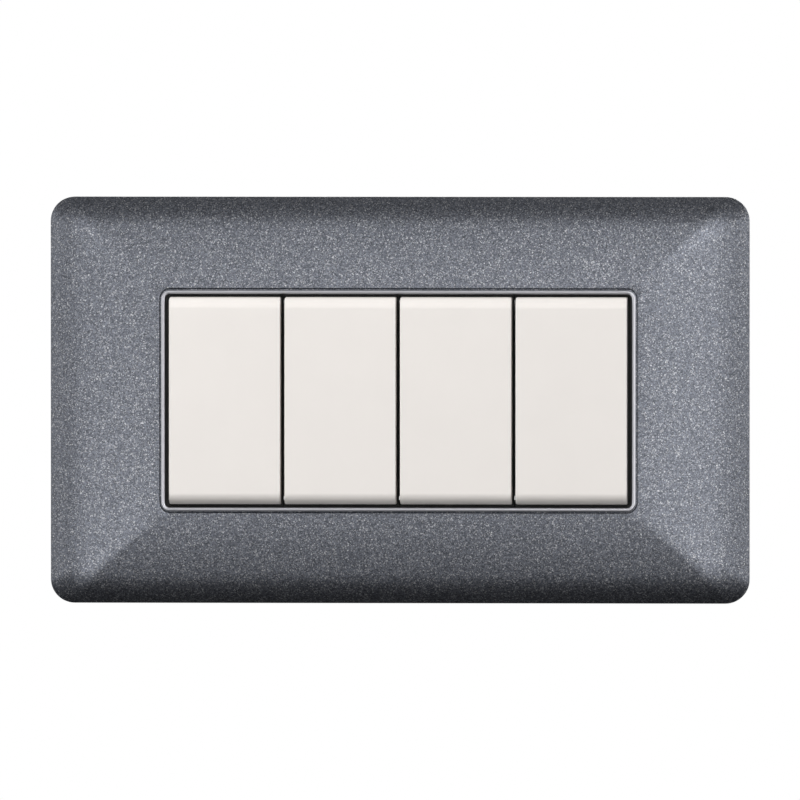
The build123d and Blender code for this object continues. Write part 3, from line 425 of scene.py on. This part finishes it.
def bright_metal(name, colour, roughness, streak_size):
    """Metal with a slightly uneven sheen and fine marks of drawing or stamping."""
    finish = Finish(name)
    tarnished = scaled(colour, 0.82)
    finish.set("Base Color", finish.mix(finish.cloud(3 * MM), tarnished, colour))
    finish.set("Metallic", 1.0)
    streaks = finish.noise(streak_size, detail=4.0, roughness=0.6)
    unevenness = 0.07
    finish.vary_roughness(streaks, roughness - unevenness, roughness + unevenness)
    finish.bump(streaks, depth=0.006 * MM, strength=0.5)
    return finish.material


def finish_for(slot):
    """The material of one of the record's slots, made the first time that it is asked for."""
    name = f"{slot}_finish"
    if name in bpy.data.materials:
        return bpy.data.materials[name]
    zinc = tuple(bpy.context.scene.switch_screws.colour)
    # Each slot's function, then its colour, its grain size, or its roughness and streak size
    makers = {
        "plate_lacquer": (flake_lacquer,),
        "key_plastic": (key_moulding,),
        "frame_plastic": (dark_moulding, (0.030, 0.030, 0.032), 0.35 * MM),
        # The housings' black is the moulding's own colour, made darker than the plastic would be as
        # painted shade in the deep gaps round the keys
        "case_plastic": (dark_moulding, (0.009, 0.009, 0.008), 0.28 * MM),
        "screw_steel": (bright_metal, zinc, 0.30, 0.4 * MM),
        "plunger_plastic": (pale_moulding,),
        "spring_steel": (bright_metal, (0.55, 0.55, 0.56), 0.26, 0.15 * MM),
        "blade_copper": (bright_metal, (0.72, 0.43, 0.28), 0.32, 0.4 * MM),
        "contact_silver": (bright_metal, (0.80, 0.80, 0.77), 0.22, 0.3 * MM),
        "strip_brass": (bright_metal, (0.74, 0.55, 0.25), 0.30, 0.4 * MM),
    }
    maker, *values = makers[slot]
    return maker(name, *values)


# Shapes


def publish(bm, name, node, sharp_angle=math.radians(30)):
    """Turns a bmesh into a piece that stands for a node, rides with it and wears its finish."""
    bmesh.ops.remove_doubles(bm, verts=bm.verts, dist=MERGE)
    bmesh.ops.recalc_face_normals(bm, faces=bm.faces)
    mesh = bpy.data.meshes.new(name)
    bm.to_mesh(mesh)
    bm.free()
    mesh.shade_smooth()
    mesh.set_sharp_from_angle(angle=sharp_angle)
    piece = bpy.data.objects.new(name, mesh)
    bpy.context.scene.collection.objects.link(piece)
    slot = slot_of_node(node)
    mesh.materials.append(finish_for(slot))
    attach(piece, body_of_node(node))
    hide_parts(node)
    return piece


def soften(piece):
    """Lets the large faces set the shading, so that flats stay flat beside their rounded edges."""
    weighted = piece.modifiers.new("Shading", "WEIGHTED_NORMAL")
    weighted.mode = "FACE_AREA"
    weighted.weight = 50
    weighted.keep_sharp = True


def add_block(bm, *ranges):
    """A straight block between two values on each axis."""
    pairs = [sorted(pair) for pair in ranges]
    size = Matrix.Diagonal([high - low for low, high in pairs]).to_4x4()
    place = Matrix.Translation([(low + high) / 2 for low, high in pairs])
    bmesh.ops.create_cube(bm, size=1, matrix=place @ size)


def add_rod(bm, start, end, radius):
    """A capped cylinder between two points."""
    start, end = Vector(start), Vector(end)
    turn = (end - start).to_track_quat("Z", "Y").to_matrix().to_4x4()
    bmesh.ops.create_cone(
        bm,
        cap_ends=True,
        segments=ROUND_STEPS,
        radius1=radius,
        radius2=radius,
        depth=(end - start).length,
        matrix=Matrix.Translation((start + end) / 2) @ turn,
    )


def add_turning(bm, profile, steps=ROUND_STEPS):
    """A turned solid about the Y axis, from (radius, y) points that start and end on the axis."""
    verts = [bm.verts.new((radius, y, 0)) for radius, y in profile]
    edges = [bm.edges.new(pair) for pair in zip(verts, verts[1:])]
    bmesh.ops.spin(
        bm,
        geom=verts + edges,
        cent=(0, 0, 0),
        axis=(0, 1, 0),
        angle=math.tau,
        steps=steps,
        use_merge=True,
    )


def add_helix(bm, section, pitch, turns, steps, x=0.0):
    """Winds a closed section of (radius, y) points round a line along Y, and closes its ends."""
    verts = [bm.verts.new((x + radius, y, 0)) for radius, y in section]
    edges = [bm.edges.new(pair) for pair in zip(verts, verts[1:] + verts[:1])]
    last = bmesh.ops.spin(
        bm,
        geom=verts + edges,
        cent=(x, 0, 0),
        axis=(0, 1, 0),
        dvec=(0, pitch / steps, 0),
        angle=math.tau * turns,
        steps=round(steps * turns),
    )["geom_last"]
    for end in (edges, [part for part in last if isinstance(part, bmesh.types.BMEdge)]):
        bmesh.ops.edgeloop_fill(bm, edges=end)


def rounded_ring(bm, half_width, half_height, corner, forward):
    """A closed ring of edges in the shape of a rounded rectangle, parallel to the wall."""
    corners = [
        bm.verts.new((x * half_width, -forward, z * half_height))
        for x, z in ((1, 1), (-1, 1), (-1, -1), (1, -1))
    ]
    face = bm.faces.new(corners)
    others = set(bm.edges) - set(face.edges)
    bmesh.ops.bevel(
        bm,
        geom=corners,
        offset=corner,
        segments=CORNER_STEPS,
        profile=0.5,
        affect="VERTICES",
        material=-1,
    )
    ring = [edge for edge in bm.edges if edge not in others]
    faces = {face for edge in ring for face in edge.link_faces}
    bmesh.ops.delete(bm, geom=list(faces), context="FACES_ONLY")
    return ring


def resize(bm, factor):
    bmesh.ops.scale(bm, vec=(factor, factor, factor), verts=bm.verts)


def close_skin(bm, rings):
    """Joins a row of rings into one closed skin with flat ends."""
    resize(bm, ENLARGED)
    for first, second in zip(rings, rings[1:]):
        bmesh.ops.bridge_loops(bm, edges=first + second)
    for end in (rings[0], rings[-1]):
        bmesh.ops.edgeloop_fill(bm, edges=end)
    resize(bm, 1 / ENLARGED)


def bevel_edges(bm, edges, radius, segments):
    bmesh.ops.bevel(
        bm,
        geom=edges,
        offset=radius,
        segments=segments,
        profile=0.5,
        affect="EDGES",
        material=-1,
    )
    bm.normal_update()


def combine(operation, whole, *others):
    """A new bmesh: the first shape joined with the others, or less them. The shapes are used up."""
    scraps = []
    for shape in (whole, *others):
        bmesh.ops.remove_doubles(shape, verts=shape.verts, dist=MERGE)
        bmesh.ops.recalc_face_normals(shape, faces=shape.faces)
        resize(shape, ENLARGED)
        mesh = bpy.data.meshes.new("scrap")
        shape.to_mesh(mesh)
        shape.free()
        scraps.append(bpy.data.objects.new("scrap", mesh))
        bpy.context.scene.collection.objects.link(scraps[-1])
    for tool in scraps[1:]:
        boolean = scraps[0].modifiers.new("Combine", "BOOLEAN")
        boolean.operation = operation
        boolean.object = tool
        boolean.solver = "EXACT"
    bpy.context.view_layer.update()
    result = bmesh.new()
    result.from_object(scraps[0], bpy.context.evaluated_depsgraph_get())
    resize(result, 1 / ENLARGED)
    for scrap in scraps:
        mesh = scrap.data
        bpy.data.objects.remove(scrap)
        bpy.data.meshes.remove(mesh)
    return result


def copies(bm, places):
    """One bmesh with copies of a shape moved to several places. The shape is used up."""
    mesh = bpy.data.meshes.new("copy")
    bm.to_mesh(mesh)
    bm.free()
    result = bmesh.new()
    for place in places:
        shifted = mesh.copy()
        shifted.transform(Matrix.Translation(place))
        result.from_mesh(shifted)
        bpy.data.meshes.remove(shifted)
    bpy.data.meshes.remove(mesh)
    return result


# Cover plate


def crown_section(settings):
    """The crown's section as (run, rise) shares at even steps along its length, rim end last.

    A tight arc and a shallow one meet at the shoulder's slope.
    """
    edge, shoulder, crest = settings.edge_slope, settings.shoulder_slope, settings.crest_slope
    share = settings.shoulder_share
    tight = share / (math.sin(edge) - math.sin(shoulder))
    shallow = (1 - share) / (math.sin(shoulder) - math.sin(crest))
    tight_length, shallow_length = tight * (edge - shoulder), shallow * (shoulder - crest)
    shoulder_rise = tight * (math.cos(shoulder) - math.cos(edge))
    total_rise = shoulder_rise + shallow * (math.cos(crest) - math.cos(shoulder))
    section = []
    for step in range(CROWN_STEPS + 1):
        along = (tight_length + shallow_length) * step / CROWN_STEPS
        if along < tight_length:
            slope = edge - along / tight
            run = tight * (math.sin(edge) - math.sin(slope))
            rise = tight * (math.cos(slope) - math.cos(edge))
        else:
            slope = shoulder - (along - tight_length) / shallow
            run = share + shallow * (math.sin(shoulder) - math.sin(slope))
            rise = shoulder_rise + shallow * (math.cos(slope) - math.cos(shoulder))
        section.append((run, rise / total_rise))
    return section


class PlateForm:
    """The cover plate's crown, window and inner space, each as a bmesh."""

    def __init__(self, settings):
        self.settings = settings
        self.half = ((PLATE_HIGH.x - PLATE_LOW.x) / 2, (PLATE_HIGH.z - PLATE_LOW.z) / 2)
        self.window = (settings.window_width / 2, settings.window_height / 2)
        self.rim_crest = -PLATE_LOW.y
        self.crest = self.rim_crest - settings.rim_proud
        self.ground = settings.rim_width + settings.groove_width

    def window_ring(self, bm, out, forward):
        """A ring this far outside the window's edge."""
        corner = self.settings.window_corner + out
        return rounded_ring(bm, self.window[0] + out, self.window[1] + out, corner, forward)

    def crown_rings(self, bm, inset, out):
        """Rings up the crown, from its edge to a line this far outside the window."""
        settings = self.settings
        rings = []
        spread = settings.corner - settings.crest_corner
        # The outer crown's last ring is the groove's first one
        last = None if inset else -1
        for run, rise in crown_section(settings)[:last]:
            half_width, half_height = (
                side + (opening + out - side) * run - inset
                for side, opening in zip(self.half, self.window)
            )
            corner = settings.crest_corner + spread * (1 - run) ** 2 - inset * (1 - run)
            forward = settings.edge + (self.crest - settings.edge) * rise - inset
            rings.append(rounded_ring(bm, half_width, half_height, corner, forward))
        return rings

    def body(self):
        """The outer form with its groove, rim and ledge, and a thin floor left in the window."""
        settings = self.settings
        bm = bmesh.new()
        lip, depth = settings.groove_lip, settings.groove_depth
        ground, bead = self.ground, settings.rim_width / 2
        rings = [rounded_ring(bm, *self.half, settings.corner, 0)]
        rings += self.crown_rings(bm, 0, ground + lip)
        # Distances outside the window, and drops below the crown
        groove = [
            (ground + lip, 0),
            (ground + 0.35 * lip, 0.12 * depth),
            (ground, 0.4 * depth),
            (ground - 0.25 * settings.groove_width, 0.8 * depth),
            (ground - 0.5 * settings.groove_width, depth),
            (settings.rim_width, 0.9 * depth),
        ]
        rings += [self.window_ring(bm, out, self.crest - drop) for out, drop in groove]
        for step in range(RIM_STEPS + 1):
            turn = math.pi * step / RIM_STEPS
            forward = self.rim_crest - 0.5 * bead * (1 - math.sin(turn))
            rings.append(self.window_ring(bm, bead + bead * math.cos(turn), forward))
        # The ledge's front slopes a little, and the window's long sides come in by a hair
        slope, hair = 0.05 * MM, 0.03 * MM
        rings.append(self.window_ring(bm, 0, settings.ledge_front))
        narrowed = (self.window[0] - settings.ledge, self.window[1] - hair)
        for forward in (settings.ledge_front - slope, settings.edge / 2):
            rings.append(rounded_ring(bm, *narrowed, settings.window_corner, forward))
        close_skin(bm, rings)
        return bm

    def hollow(self):
        """The space behind the plate, less the skirt, hooks, ribs and posts that stand in it."""
        settings = self.settings
        space = bmesh.new()
        inner = [side - settings.wall for side in self.half]
        rings = [rounded_ring(space, *inner, settings.corner - settings.wall, -settings.wall)]
        close_skin(space, rings + self.crown_rings(space, settings.wall, self.ground))
        standing = (self.skirt(), self.hooks(), self.catches(), self.ribs_and_posts())
        return combine("DIFFERENCE", space, *standing)

    def skirt(self):
        """The block that the window goes through. What is left round it is the skirt."""
        bm = bmesh.new()
        out = self.settings.skirt_wall
        ends = (self.settings.skirt_back, self.rim_crest)
        close_skin(bm, [self.window_ring(bm, out, forward) for forward in ends])
        return bm

    def hook_places(self):
        """Each hook's side, inner face and ends along X."""
        settings = self.settings
        inner = FRAME_HIGH.z + settings.hook_clearance
        for side in (-1, 1):
            for x in (-settings.hook_spacing / 2, settings.hook_spacing / 2):
                yield side, inner, (x - settings.hook_width / 2, x + settings.hook_width / 2)

    def hooks(self):
        """The hooks' springy blades."""
        settings = self.settings
        bm = bmesh.new()
        for side, inner, width in self.hook_places():
            blade = (side * inner, side * (inner + settings.hook_thickness))
            add_block(bm, width, (-self.rim_crest, -settings.hook_tip), blade)
        return bm

    def catches(self):
        """The hooks' catches, which reach behind the frame."""
        settings = self.settings
        bm = bmesh.new()
        for side, inner, width in self.hook_places():
            reach = (
                side * (FRAME_HIGH.z - settings.hook_catch),
                side * (inner + settings.hook_thickness / 2),
            )
            head = (-settings.hook_tip - settings.hook_head, -settings.hook_tip)
            add_block(bm, width, head, reach)
        return bm

    def ribs_and_posts(self):
        """A rib above and below each switch, and a post in each corner."""
        settings = self.settings
        bm = bmesh.new()
        depth = (-self.rim_crest, -settings.rib_back)
        for x in MODULE_XS.values():
            across = (x - settings.rib / 2, x + settings.rib / 2)
            for side in (-1, 1):
                add_block(bm, across, depth, (side * settings.rib_start, side * self.half[1]))
        right, top = FRAME_HIGH.x - settings.post_inset, FRAME_HIGH.z - settings.post_inset
        for x in (-right, right):
            for z in (-top, top):
                add_rod(bm, (x, -settings.post_back, z), (x, -self.rim_crest, z), settings.post)
        return bm

    def pry_slot(self):
        """The slot in the bottom edge for prising the plate off."""
        settings = self.settings
        bm = bmesh.new()
        across = (-settings.pry_width / 2, settings.pry_width / 2)
        depth = (-settings.pry_height, settings.pry_height)
        through = (PLATE_LOW.z - settings.wall, PLATE_LOW.z + 1.5 * settings.wall)
        add_block(bm, across, depth, through)
        return bm


class SWITCH_OT_cover_plate(bpy.types.Operator):
    """Builds the metallic cover plate with its rim, groove, hollow back and snap hooks"""

    bl_idname = "switch.cover_plate"
    bl_label = "Cover Plate"

    def execute(self, context):
        form = PlateForm(context.scene.switch_plate)
        bm = combine("DIFFERENCE", form.body(), form.hollow(), form.pry_slot())
        soften(publish(bm, "plate", "cover_plate"))
        return {"FINISHED"}


# Rocker keys


def key_block(settings, inset, overrun):
    """The key's block, shrunk by an inset on every side and run on towards the wall."""
    bm = bmesh.new()
    half_width = KEY_HALF_WIDTH - inset
    half_height = KEY_HIGH.z - inset
    face = KEY_FACE - inset
    back = KEY_FACE - settings.skirt
    add_block(bm, (-half_width, half_width), (-face, -back + overrun), (-half_height, half_height))
    front = [vert for vert in bm.verts if vert.co.y < -back]
    for vert in front:
        vert.co.z -= math.copysign((face - back) * math.tan(settings.end_draft), vert.co.z)
    ends = [
        edge
        for edge in bm.edges
        if set(edge.verts) <= set(front) and edge.verts[0].co.z * edge.verts[1].co.z > 0
    ]
    bevel_edges(bm, ends, settings.end_round - inset, segments=14)
    if not inset:
        sides = [side for side in bm.faces if abs(side.normal.x) > 0.99]
        edges = {
            edge
            for side in sides
            for edge in side.edges
            if min(vert.co.y for vert in edge.verts) < -back - MERGE
        }
        bevel_edges(bm, list(edges), settings.side_round, segments=5)
    return bm


def key_arms(settings):
    """The two pivot arms, their round ends and their pins, each pair as a bmesh."""
    arms, ends, pins = bmesh.new(), bmesh.new(), bmesh.new()
    roof = -KEY_FACE + settings.wall / 2
    outer = settings.arm_reach
    inner = outer - settings.arm_thickness
    tip = outer + settings.trunnion_length
    for side in (-1, 1):
        across = (side * inner, side * outer)
        add_block(arms, across, (roof, PIVOT.y), (-settings.arm, settings.arm))
        add_rod(ends, (across[0], PIVOT.y, 0), (across[1], PIVOT.y, 0), settings.arm)
        start = side * (inner + outer) / 2
        add_rod(pins, (start, PIVOT.y, 0), (side * tip, PIVOT.y, 0), settings.trunnion)
    return arms, ends, pins


def guide_tube(settings):
    """The plunger's guide tube before it is bored."""
    bm = bmesh.new()
    add_rod(bm, (0, -KEY_FACE + settings.wall / 2, 0), (0, KEY_HIGH.y, 0), settings.guide)
    return bm


def guide_bore(settings):
    """The bore in the guide tube, from its blind end out past the tube."""
    bm = bmesh.new()
    add_rod(bm, (0, -settings.bore_top, 0), (0, KEY_HIGH.y + settings.wall, 0), settings.bore)
    return bm


def key_ribs(settings):
    """A long rib and two cross ribs under the key's face."""
    long_rib, cross_ribs = bmesh.new(), bmesh.new()
    half = settings.rib / 2
    roof = -KEY_FACE + settings.wall / 2
    inside = -KEY_FACE + settings.wall
    reach = settings.rib_length / 2
    add_block(long_rib, (-half, half), (roof, inside + settings.rib_drop), (-reach, reach))
    side = KEY_HALF_WIDTH - settings.wall / 2
    for z in (-settings.cross_spacing / 2, settings.cross_spacing / 2):
        drop = (roof, inside + settings.cross_drop)
        add_block(cross_ribs, (-side, side), drop, (z - half, z + half))
    return long_rib, cross_ribs


def key_shape(settings):
    """A whole key, level, in the middle of the plate."""
    overrun = 1 * MM
    block = key_block(settings, 0, 0)
    shell = combine("DIFFERENCE", block, key_block(settings, settings.wall, overrun))
    parts = (*key_arms(settings), guide_tube(settings), *key_ribs(settings))
    return combine("DIFFERENCE", combine("UNION", shell, *parts), guide_bore(settings))


class SWITCH_OT_keys(bpy.types.Operator):
    """Builds the rocker keys with their rounded ends, pivot arms and guide tubes"""

    bl_idname = "switch.keys"
    bl_label = "Rocker Keys"

    def execute(self, context):
        for number, x in MODULE_XS.items():
            bm = key_shape(context.scene.switch_keys)
            bmesh.ops.translate(bm, vec=(x, 0, 0), verts=bm.verts)
            soften(publish(bm, f"rocker_{number}", f"key_{number}"))
        return {"FINISHED"}


# Screws


def slotted_head(settings, profile):
    """A turned head with a drive slot across the end at which its profile starts."""
    bm = bmesh.new()
    add_turning(bm, profile)
    top, base = profile[0][1], profile[-1][1]
    toward = math.copysign(1, base - top)
    reach = 2 * max(radius for radius, _ in profile)
    cutter = bmesh.new()
    across = (-settings.slot / 2, settings.slot / 2)
    depth = (top + toward * settings.slot_depth, top - toward * settings.slot_depth)
    add_block(cutter, (-reach, reach), depth, across)
    return combine("DIFFERENCE", bm, cutter)


def add_thread(bm, settings, radius, start, end, point):
    """A threaded shank between two places on Y, and its point."""
    root = radius - settings.thread_depth
    add_turning(bm, [(0, start), (root, start), (root, end), (0, end + point)], THREAD_STEPS)
    # Half the ridge's width at its foot, which is sunk into the shank, and at its crest
    foot, crest = 0.42 * settings.pitch, 0.1 * settings.pitch
    sunk = root - 0.2 * settings.thread_depth
    base = min(start, end) + foot
    turns = (abs(end - start) - 2 * foot) / settings.pitch
    ridge = [(sunk, base - foot), (radius, base - crest), (radius, base + crest), (sunk, base + foot)]
    add_helix(bm, ridge, settings.pitch, turns, THREAD_STEPS)


class SWITCH_OT_screws(bpy.types.Operator):
    """Builds the box screws and the terminal screws with threads and drive slots"""

    bl_idname = "switch.screws"
    bl_label = "Screws"

    def execute(self, context):
        settings = context.scene.switch_screws
        self.box_screws(settings)
        self.terminal_screws(settings)
        return {"FINISHED"}

    def box_screws(self, settings):
        """The two screws that hold the support frame, with domed heads and plain necks."""
        low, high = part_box("box_screws")
        radius = (high.z - low.z) / 2
        seat = low.y + settings.box_head
        start = 0.3 * MM
        dome = 0.65 * settings.box_head
        steps = 10
        turns = [math.pi / 2 * step / steps for step in range(steps + 1)]
        crown = [(radius * math.sin(turn), low.y + dome * (1 - math.cos(turn))) for turn in turns]
        neck = [(settings.box_neck, seat), (settings.box_neck, start), (0, start)]
        bm = slotted_head(settings, [*crown, (radius, seat), *neck])
        end = high.y - settings.box_point
        add_thread(bm, settings, settings.box_thread, start, end, settings.box_point)
        spacing = high.x - radius
        publish(copies(bm, [(-spacing, 0, 0), (spacing, 0, 0)]), "wall_screws", "box_screws")

    def terminal_screws(self, settings):
        """The three screws in the back of each switch: one at the top and two below."""
        low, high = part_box(f"terminal_screws_{FIRST}")
        radius = settings.terminal_radius
        offset, reach = high.x - MODULE_XS[FIRST] - radius, high.z - radius
        seat = high.y - settings.terminal_head
        chamfer = 0.4 * MM
        bevelled = [(radius - chamfer, high.y), (radius, high.y - chamfer)]
        profile = [(0, high.y), *bevelled, (radius, seat), (0, seat)]
        for number, x in MODULE_XS.items():
            bm = slotted_head(settings, profile)
            add_thread(bm, settings, settings.terminal_thread, seat, low.y, 0)
            places = [(x, 0, reach), (x - offset, 0, -reach), (x + offset, 0, -reach)]
            publish(copies(bm, places), f"clamp_screws_{number}", f"terminal_screws_{number}")


# Springs and what keeps the frame's own shape


class SWITCH_OT_springs(bpy.types.Operator):
    """Winds the plunger springs"""

    bl_idname = "switch.springs"
    bl_label = "Springs"

    def execute(self, context):
        settings = context.scene.switch_springs
        low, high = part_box(f"plunger_spring_{FIRST}")
        wire = settings.wire
        coil = (high.x - low.x) / 2 - wire
        start, end = low.y + wire, high.y - wire
        pitch = (end - start) / settings.turns
        sides = 10
        turns = [math.tau * step / sides for step in range(sides)]
        section = [(coil + wire * math.cos(turn), start + wire * math.sin(turn)) for turn in turns]
        for number, x in MODULE_XS.items():
            bm = bmesh.new()
            add_helix(bm, section, pitch, settings.turns, SPRING_STEPS, x)
            piece = publish(bm, f"coil_{number}", f"plunger_spring_{number}", math.radians(60))
            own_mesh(piece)
        return {"FINISHED"}


class SWITCH_OT_inner_parts(bpy.types.Operator):
    """Gives the support frame, housings, bases, plungers and contact parts their finishes"""

    bl_idname = "switch.inner_parts"
    bl_label = "Frame, Housings and Contacts"

    def execute(self, context):
        for name, node in NODES.items():
            node.data.materials.clear()
            node.data.materials.append(finish_for(slot_of_node(name)))
        return {"FINISHED"}


# Stage


def direction(side, rise):
    """A unit vector to the right of and above the plate's front, from two angles."""
    return Vector((math.sin(side) * math.cos(rise), -math.cos(side) * math.cos(rise), math.sin(rise)))


def add_camera(settings):
    """A long lens almost square-on to the plate's middle."""
    sensor = 36
    camera = bpy.data.objects.new("camera", bpy.data.cameras.new("camera"))
    bpy.context.scene.collection.objects.link(camera)
    back = direction(settings.camera_side, settings.camera_rise)
    aim = Vector((0, -1.5 * MM, 0))
    camera.location = aim + back * settings.camera_distance
    camera.rotation_euler = (-back).to_track_quat("-Z", "Y").to_euler()
    camera.data.sensor_width = sensor
    camera.data.lens = sensor * settings.camera_distance / settings.view_width
    camera.data.clip_start, camera.data.clip_end = 0.05, 20
    bpy.context.scene.camera = camera


def add_surroundings(settings):
    """White all round for camera, glossy and transmission rays, and dimmer and cooler for the rest."""
    cool_white = (0.94, 0.97, 1.0, 1)
    world = bpy.data.worlds.new("surroundings")
    bpy.context.scene.world = world
    world.use_nodes = True
    nodes, links = world.node_tree.nodes, world.node_tree.links
    nodes.clear()
    output = nodes.new("ShaderNodeOutputWorld")
    mix = nodes.new("ShaderNodeMixShader")
    lit, white = nodes.new("ShaderNodeBackground"), nodes.new("ShaderNodeBackground")
    path = nodes.new("ShaderNodeLightPath")
    lit.inputs["Color"].default_value = cool_white
    lit.inputs["Strength"].default_value = settings.surroundings
    white.inputs["Color"].default_value = (1, 1, 1, 1)
    seen = path.outputs["Is Camera Ray"]
    for ray in ("Is Glossy Ray", "Is Transmission Ray"):
        either = nodes.new("ShaderNodeMath")
        either.operation = "MAXIMUM"
        links.new(seen, either.inputs[0])
        links.new(path.outputs[ray], either.inputs[1])
        seen = either.outputs[0]
    links.new(seen, mix.inputs["Fac"])
    links.new(lit.outputs[0], mix.inputs[1])
    links.new(white.outputs[0], mix.inputs[2])
    links.new(mix.outputs[0], output.inputs["Surface"])


def stage_object(bm, name, colour):
    """A matt thing that belongs to the stage, and its finish."""
    mesh = bpy.data.meshes.new(name)
    bm.to_mesh(mesh)
    bm.free()
    thing = bpy.data.objects.new(name, mesh)
    bpy.context.scene.collection.objects.link(thing)
    finish = Finish(name)
    finish.set("Base Color", colour)
    finish.set("Roughness", 0.9)
    mesh.materials.append(finish.material)
    return thing, finish


def add_floor(settings):
    """A pale floor that is darker to bounced and mirrored light, so that it doesn't flood the object."""
    pale, bounced, mirrored = grey(0.88), grey(0.36), grey(0.04)
    bm = bmesh.new()
    place = Matrix.Translation((0, 0, -settings.floor_drop))
    bmesh.ops.create_circle(bm, cap_ends=True, segments=96, radius=settings.floor_radius, matrix=place)
    _, finish = stage_object(bm, "floor", pale)
    rays = finish.add("ShaderNodeLightPath").outputs
    tone = finish.mix(rays["Is Diffuse Ray"], pale, bounced)
    finish.set("Base Color", finish.mix(rays["Is Glossy Ray"], tone, mirrored))


def add_flag(flags, name, height, front, back, brightness):
    """A wide level panel that only reflections see, between two distances in front of the wall."""
    width = 3.0
    bm = bmesh.new()
    place = Matrix.Translation((0, -(front + back) / 2, height))
    size = Matrix.Diagonal((width, front - back, 1, 1))
    bmesh.ops.create_grid(bm, x_segments=1, y_segments=1, size=0.5, matrix=place @ size)
    flag, finish = stage_object(bm, name, grey(0.01))
    finish.set("Emission Color", grey(brightness))
    finish.set("Emission Strength", 1.0)
    flag.visible_camera = flag.visible_diffuse = flag.visible_transmission = False
    flags.objects.link(flag)
    flags.collection_objects[-1].light_linking.link_state = "EXCLUDE"


def add_lamp(flags, name, side, rise, distance, size, radiance, diffuse=False, glossy=True):
    """A soft rectangular lamp that shines through the flags, aimed at the middle of the plate."""
    data = bpy.data.lights.new(name, "AREA")
    data.shape = "RECTANGLE"
    data.size, data.size_y = size
    data.energy = radiance * math.pi * size[0] * size[1]
    lamp = bpy.data.objects.new(name, data)
    bpy.context.scene.collection.objects.link(lamp)
    away = direction(math.radians(side), math.radians(rise))
    lamp.location = away * distance
    lamp.rotation_euler = away.to_track_quat("Z", "Y").to_euler()
    lamp.visible_camera = False
    lamp.visible_diffuse, lamp.visible_glossy = diffuse, glossy
    lamp.light_linking.blocker_collection = flags


# Height, front edge and back edge in metres from the plate's middle and the wall, and brightness
FLAGS = {
    "upper_flag": (0.75, 1.15, -0.9, 0.33),
    "high_flag": (0.60, 2.60, 1.35, 0.35),
}
# Degrees right of and above the plate's front, distance and size in metres, and brightness
MAIN_LAMP = (-18, 40, 0.9, (0.42, 0.42), 13.6)
REAR_LAMP = (165, 12, 1.2, (0.9, 0.6), 2.0)
# The same for the lamps that only reflections see
GLOSS_LAMPS = {
    "front_box": (0, 11, 1.1, (0.9, 0.14), 0.2),
    "left_box": (-40, 2, 0.9, (0.75, 0.42), 1.2),
    "right_box": (40, 2, 0.9, (0.75, 0.42), 2.2),
    "left_side_box": (-85, 2, 0.9, (0.6, 0.5), 1.2),
    "right_side_box": (85, 2, 0.9, (0.6, 0.5), 1.8),
    "upper_left_spot": (-24, 20, 0.9, (0.28, 0.28), 4.0),
    "upper_right_spot": (17, 17, 0.9, (0.22, 0.22), 13.0),
    "lower_left_spot": (-25, -17, 0.44, (0.09, 0.09), 15.0),
    "lower_right_spot": (20, -17, 0.44, (0.09, 0.09), 13.0),
}


class SWITCH_OT_stage(bpy.types.Operator):
    """Sets the camera, the lamps, the white surroundings and the pale floor"""

    bl_idname = "switch.stage"
    bl_label = "Stage"

    def execute(self, context):
        settings = context.scene.switch_stage
        add_camera(settings)
        add_surroundings(settings)
        add_floor(settings)
        flags = bpy.data.collections.new("flags")
        for name, values in FLAGS.items():
            add_flag(flags, name, *values)
        add_lamp(flags, "main_lamp", *MAIN_LAMP, diffuse=True, glossy=False)
        add_lamp(flags, "rear_box", *REAR_LAMP, diffuse=True)
        for name, values in GLOSS_LAMPS.items():
            add_lamp(flags, name, *values)
        return {"FINISHED"}


OPERATORS = (
    SWITCH_OT_stage,
    SWITCH_OT_inner_parts,
    SWITCH_OT_cover_plate,
    SWITCH_OT_keys,
    SWITCH_OT_screws,
    SWITCH_OT_springs,
)
SETTINGS = {
    "switch_plate": PlateSettings,
    "switch_keys": KeySettings,
    "switch_screws": ScrewSettings,
    "switch_springs": SpringSettings,
    "switch_stage": StageSettings,
}


class SWITCH_PT_panel(bpy.types.Panel):
    """Lists the pieces that can be built"""

    bl_label = "Switch Plate"
    bl_idname = "SWITCH_PT_panel"
    bl_space_type = "VIEW_3D"
    bl_region_type = "UI"
    bl_category = "Switch Plate"

    def draw(self, context):
        for operator in OPERATORS:
            self.layout.operator(operator.bl_idname)


def register():
    for name, settings in SETTINGS.items():
        bpy.utils.register_class(settings)
        setattr(bpy.types.Scene, name, bpy.props.PointerProperty(type=settings))
    for cls in (*OPERATORS, SWITCH_PT_panel):
        bpy.utils.register_class(cls)


def unregister():
    for cls in (SWITCH_PT_panel, *reversed(OPERATORS)):
        bpy.utils.unregister_class(cls)
    for name, settings in SETTINGS.items():
        delattr(bpy.types.Scene, name)
        bpy.utils.unregister_class(settings)


def main():
    register()
    bpy.context.scene.view_settings.view_transform = "Standard"
    for operator in OPERATORS:
        group, name = operator.bl_idname.split(".")
        getattr(getattr(bpy.ops, group), name)()


if __name__ == "__main__":
    main()
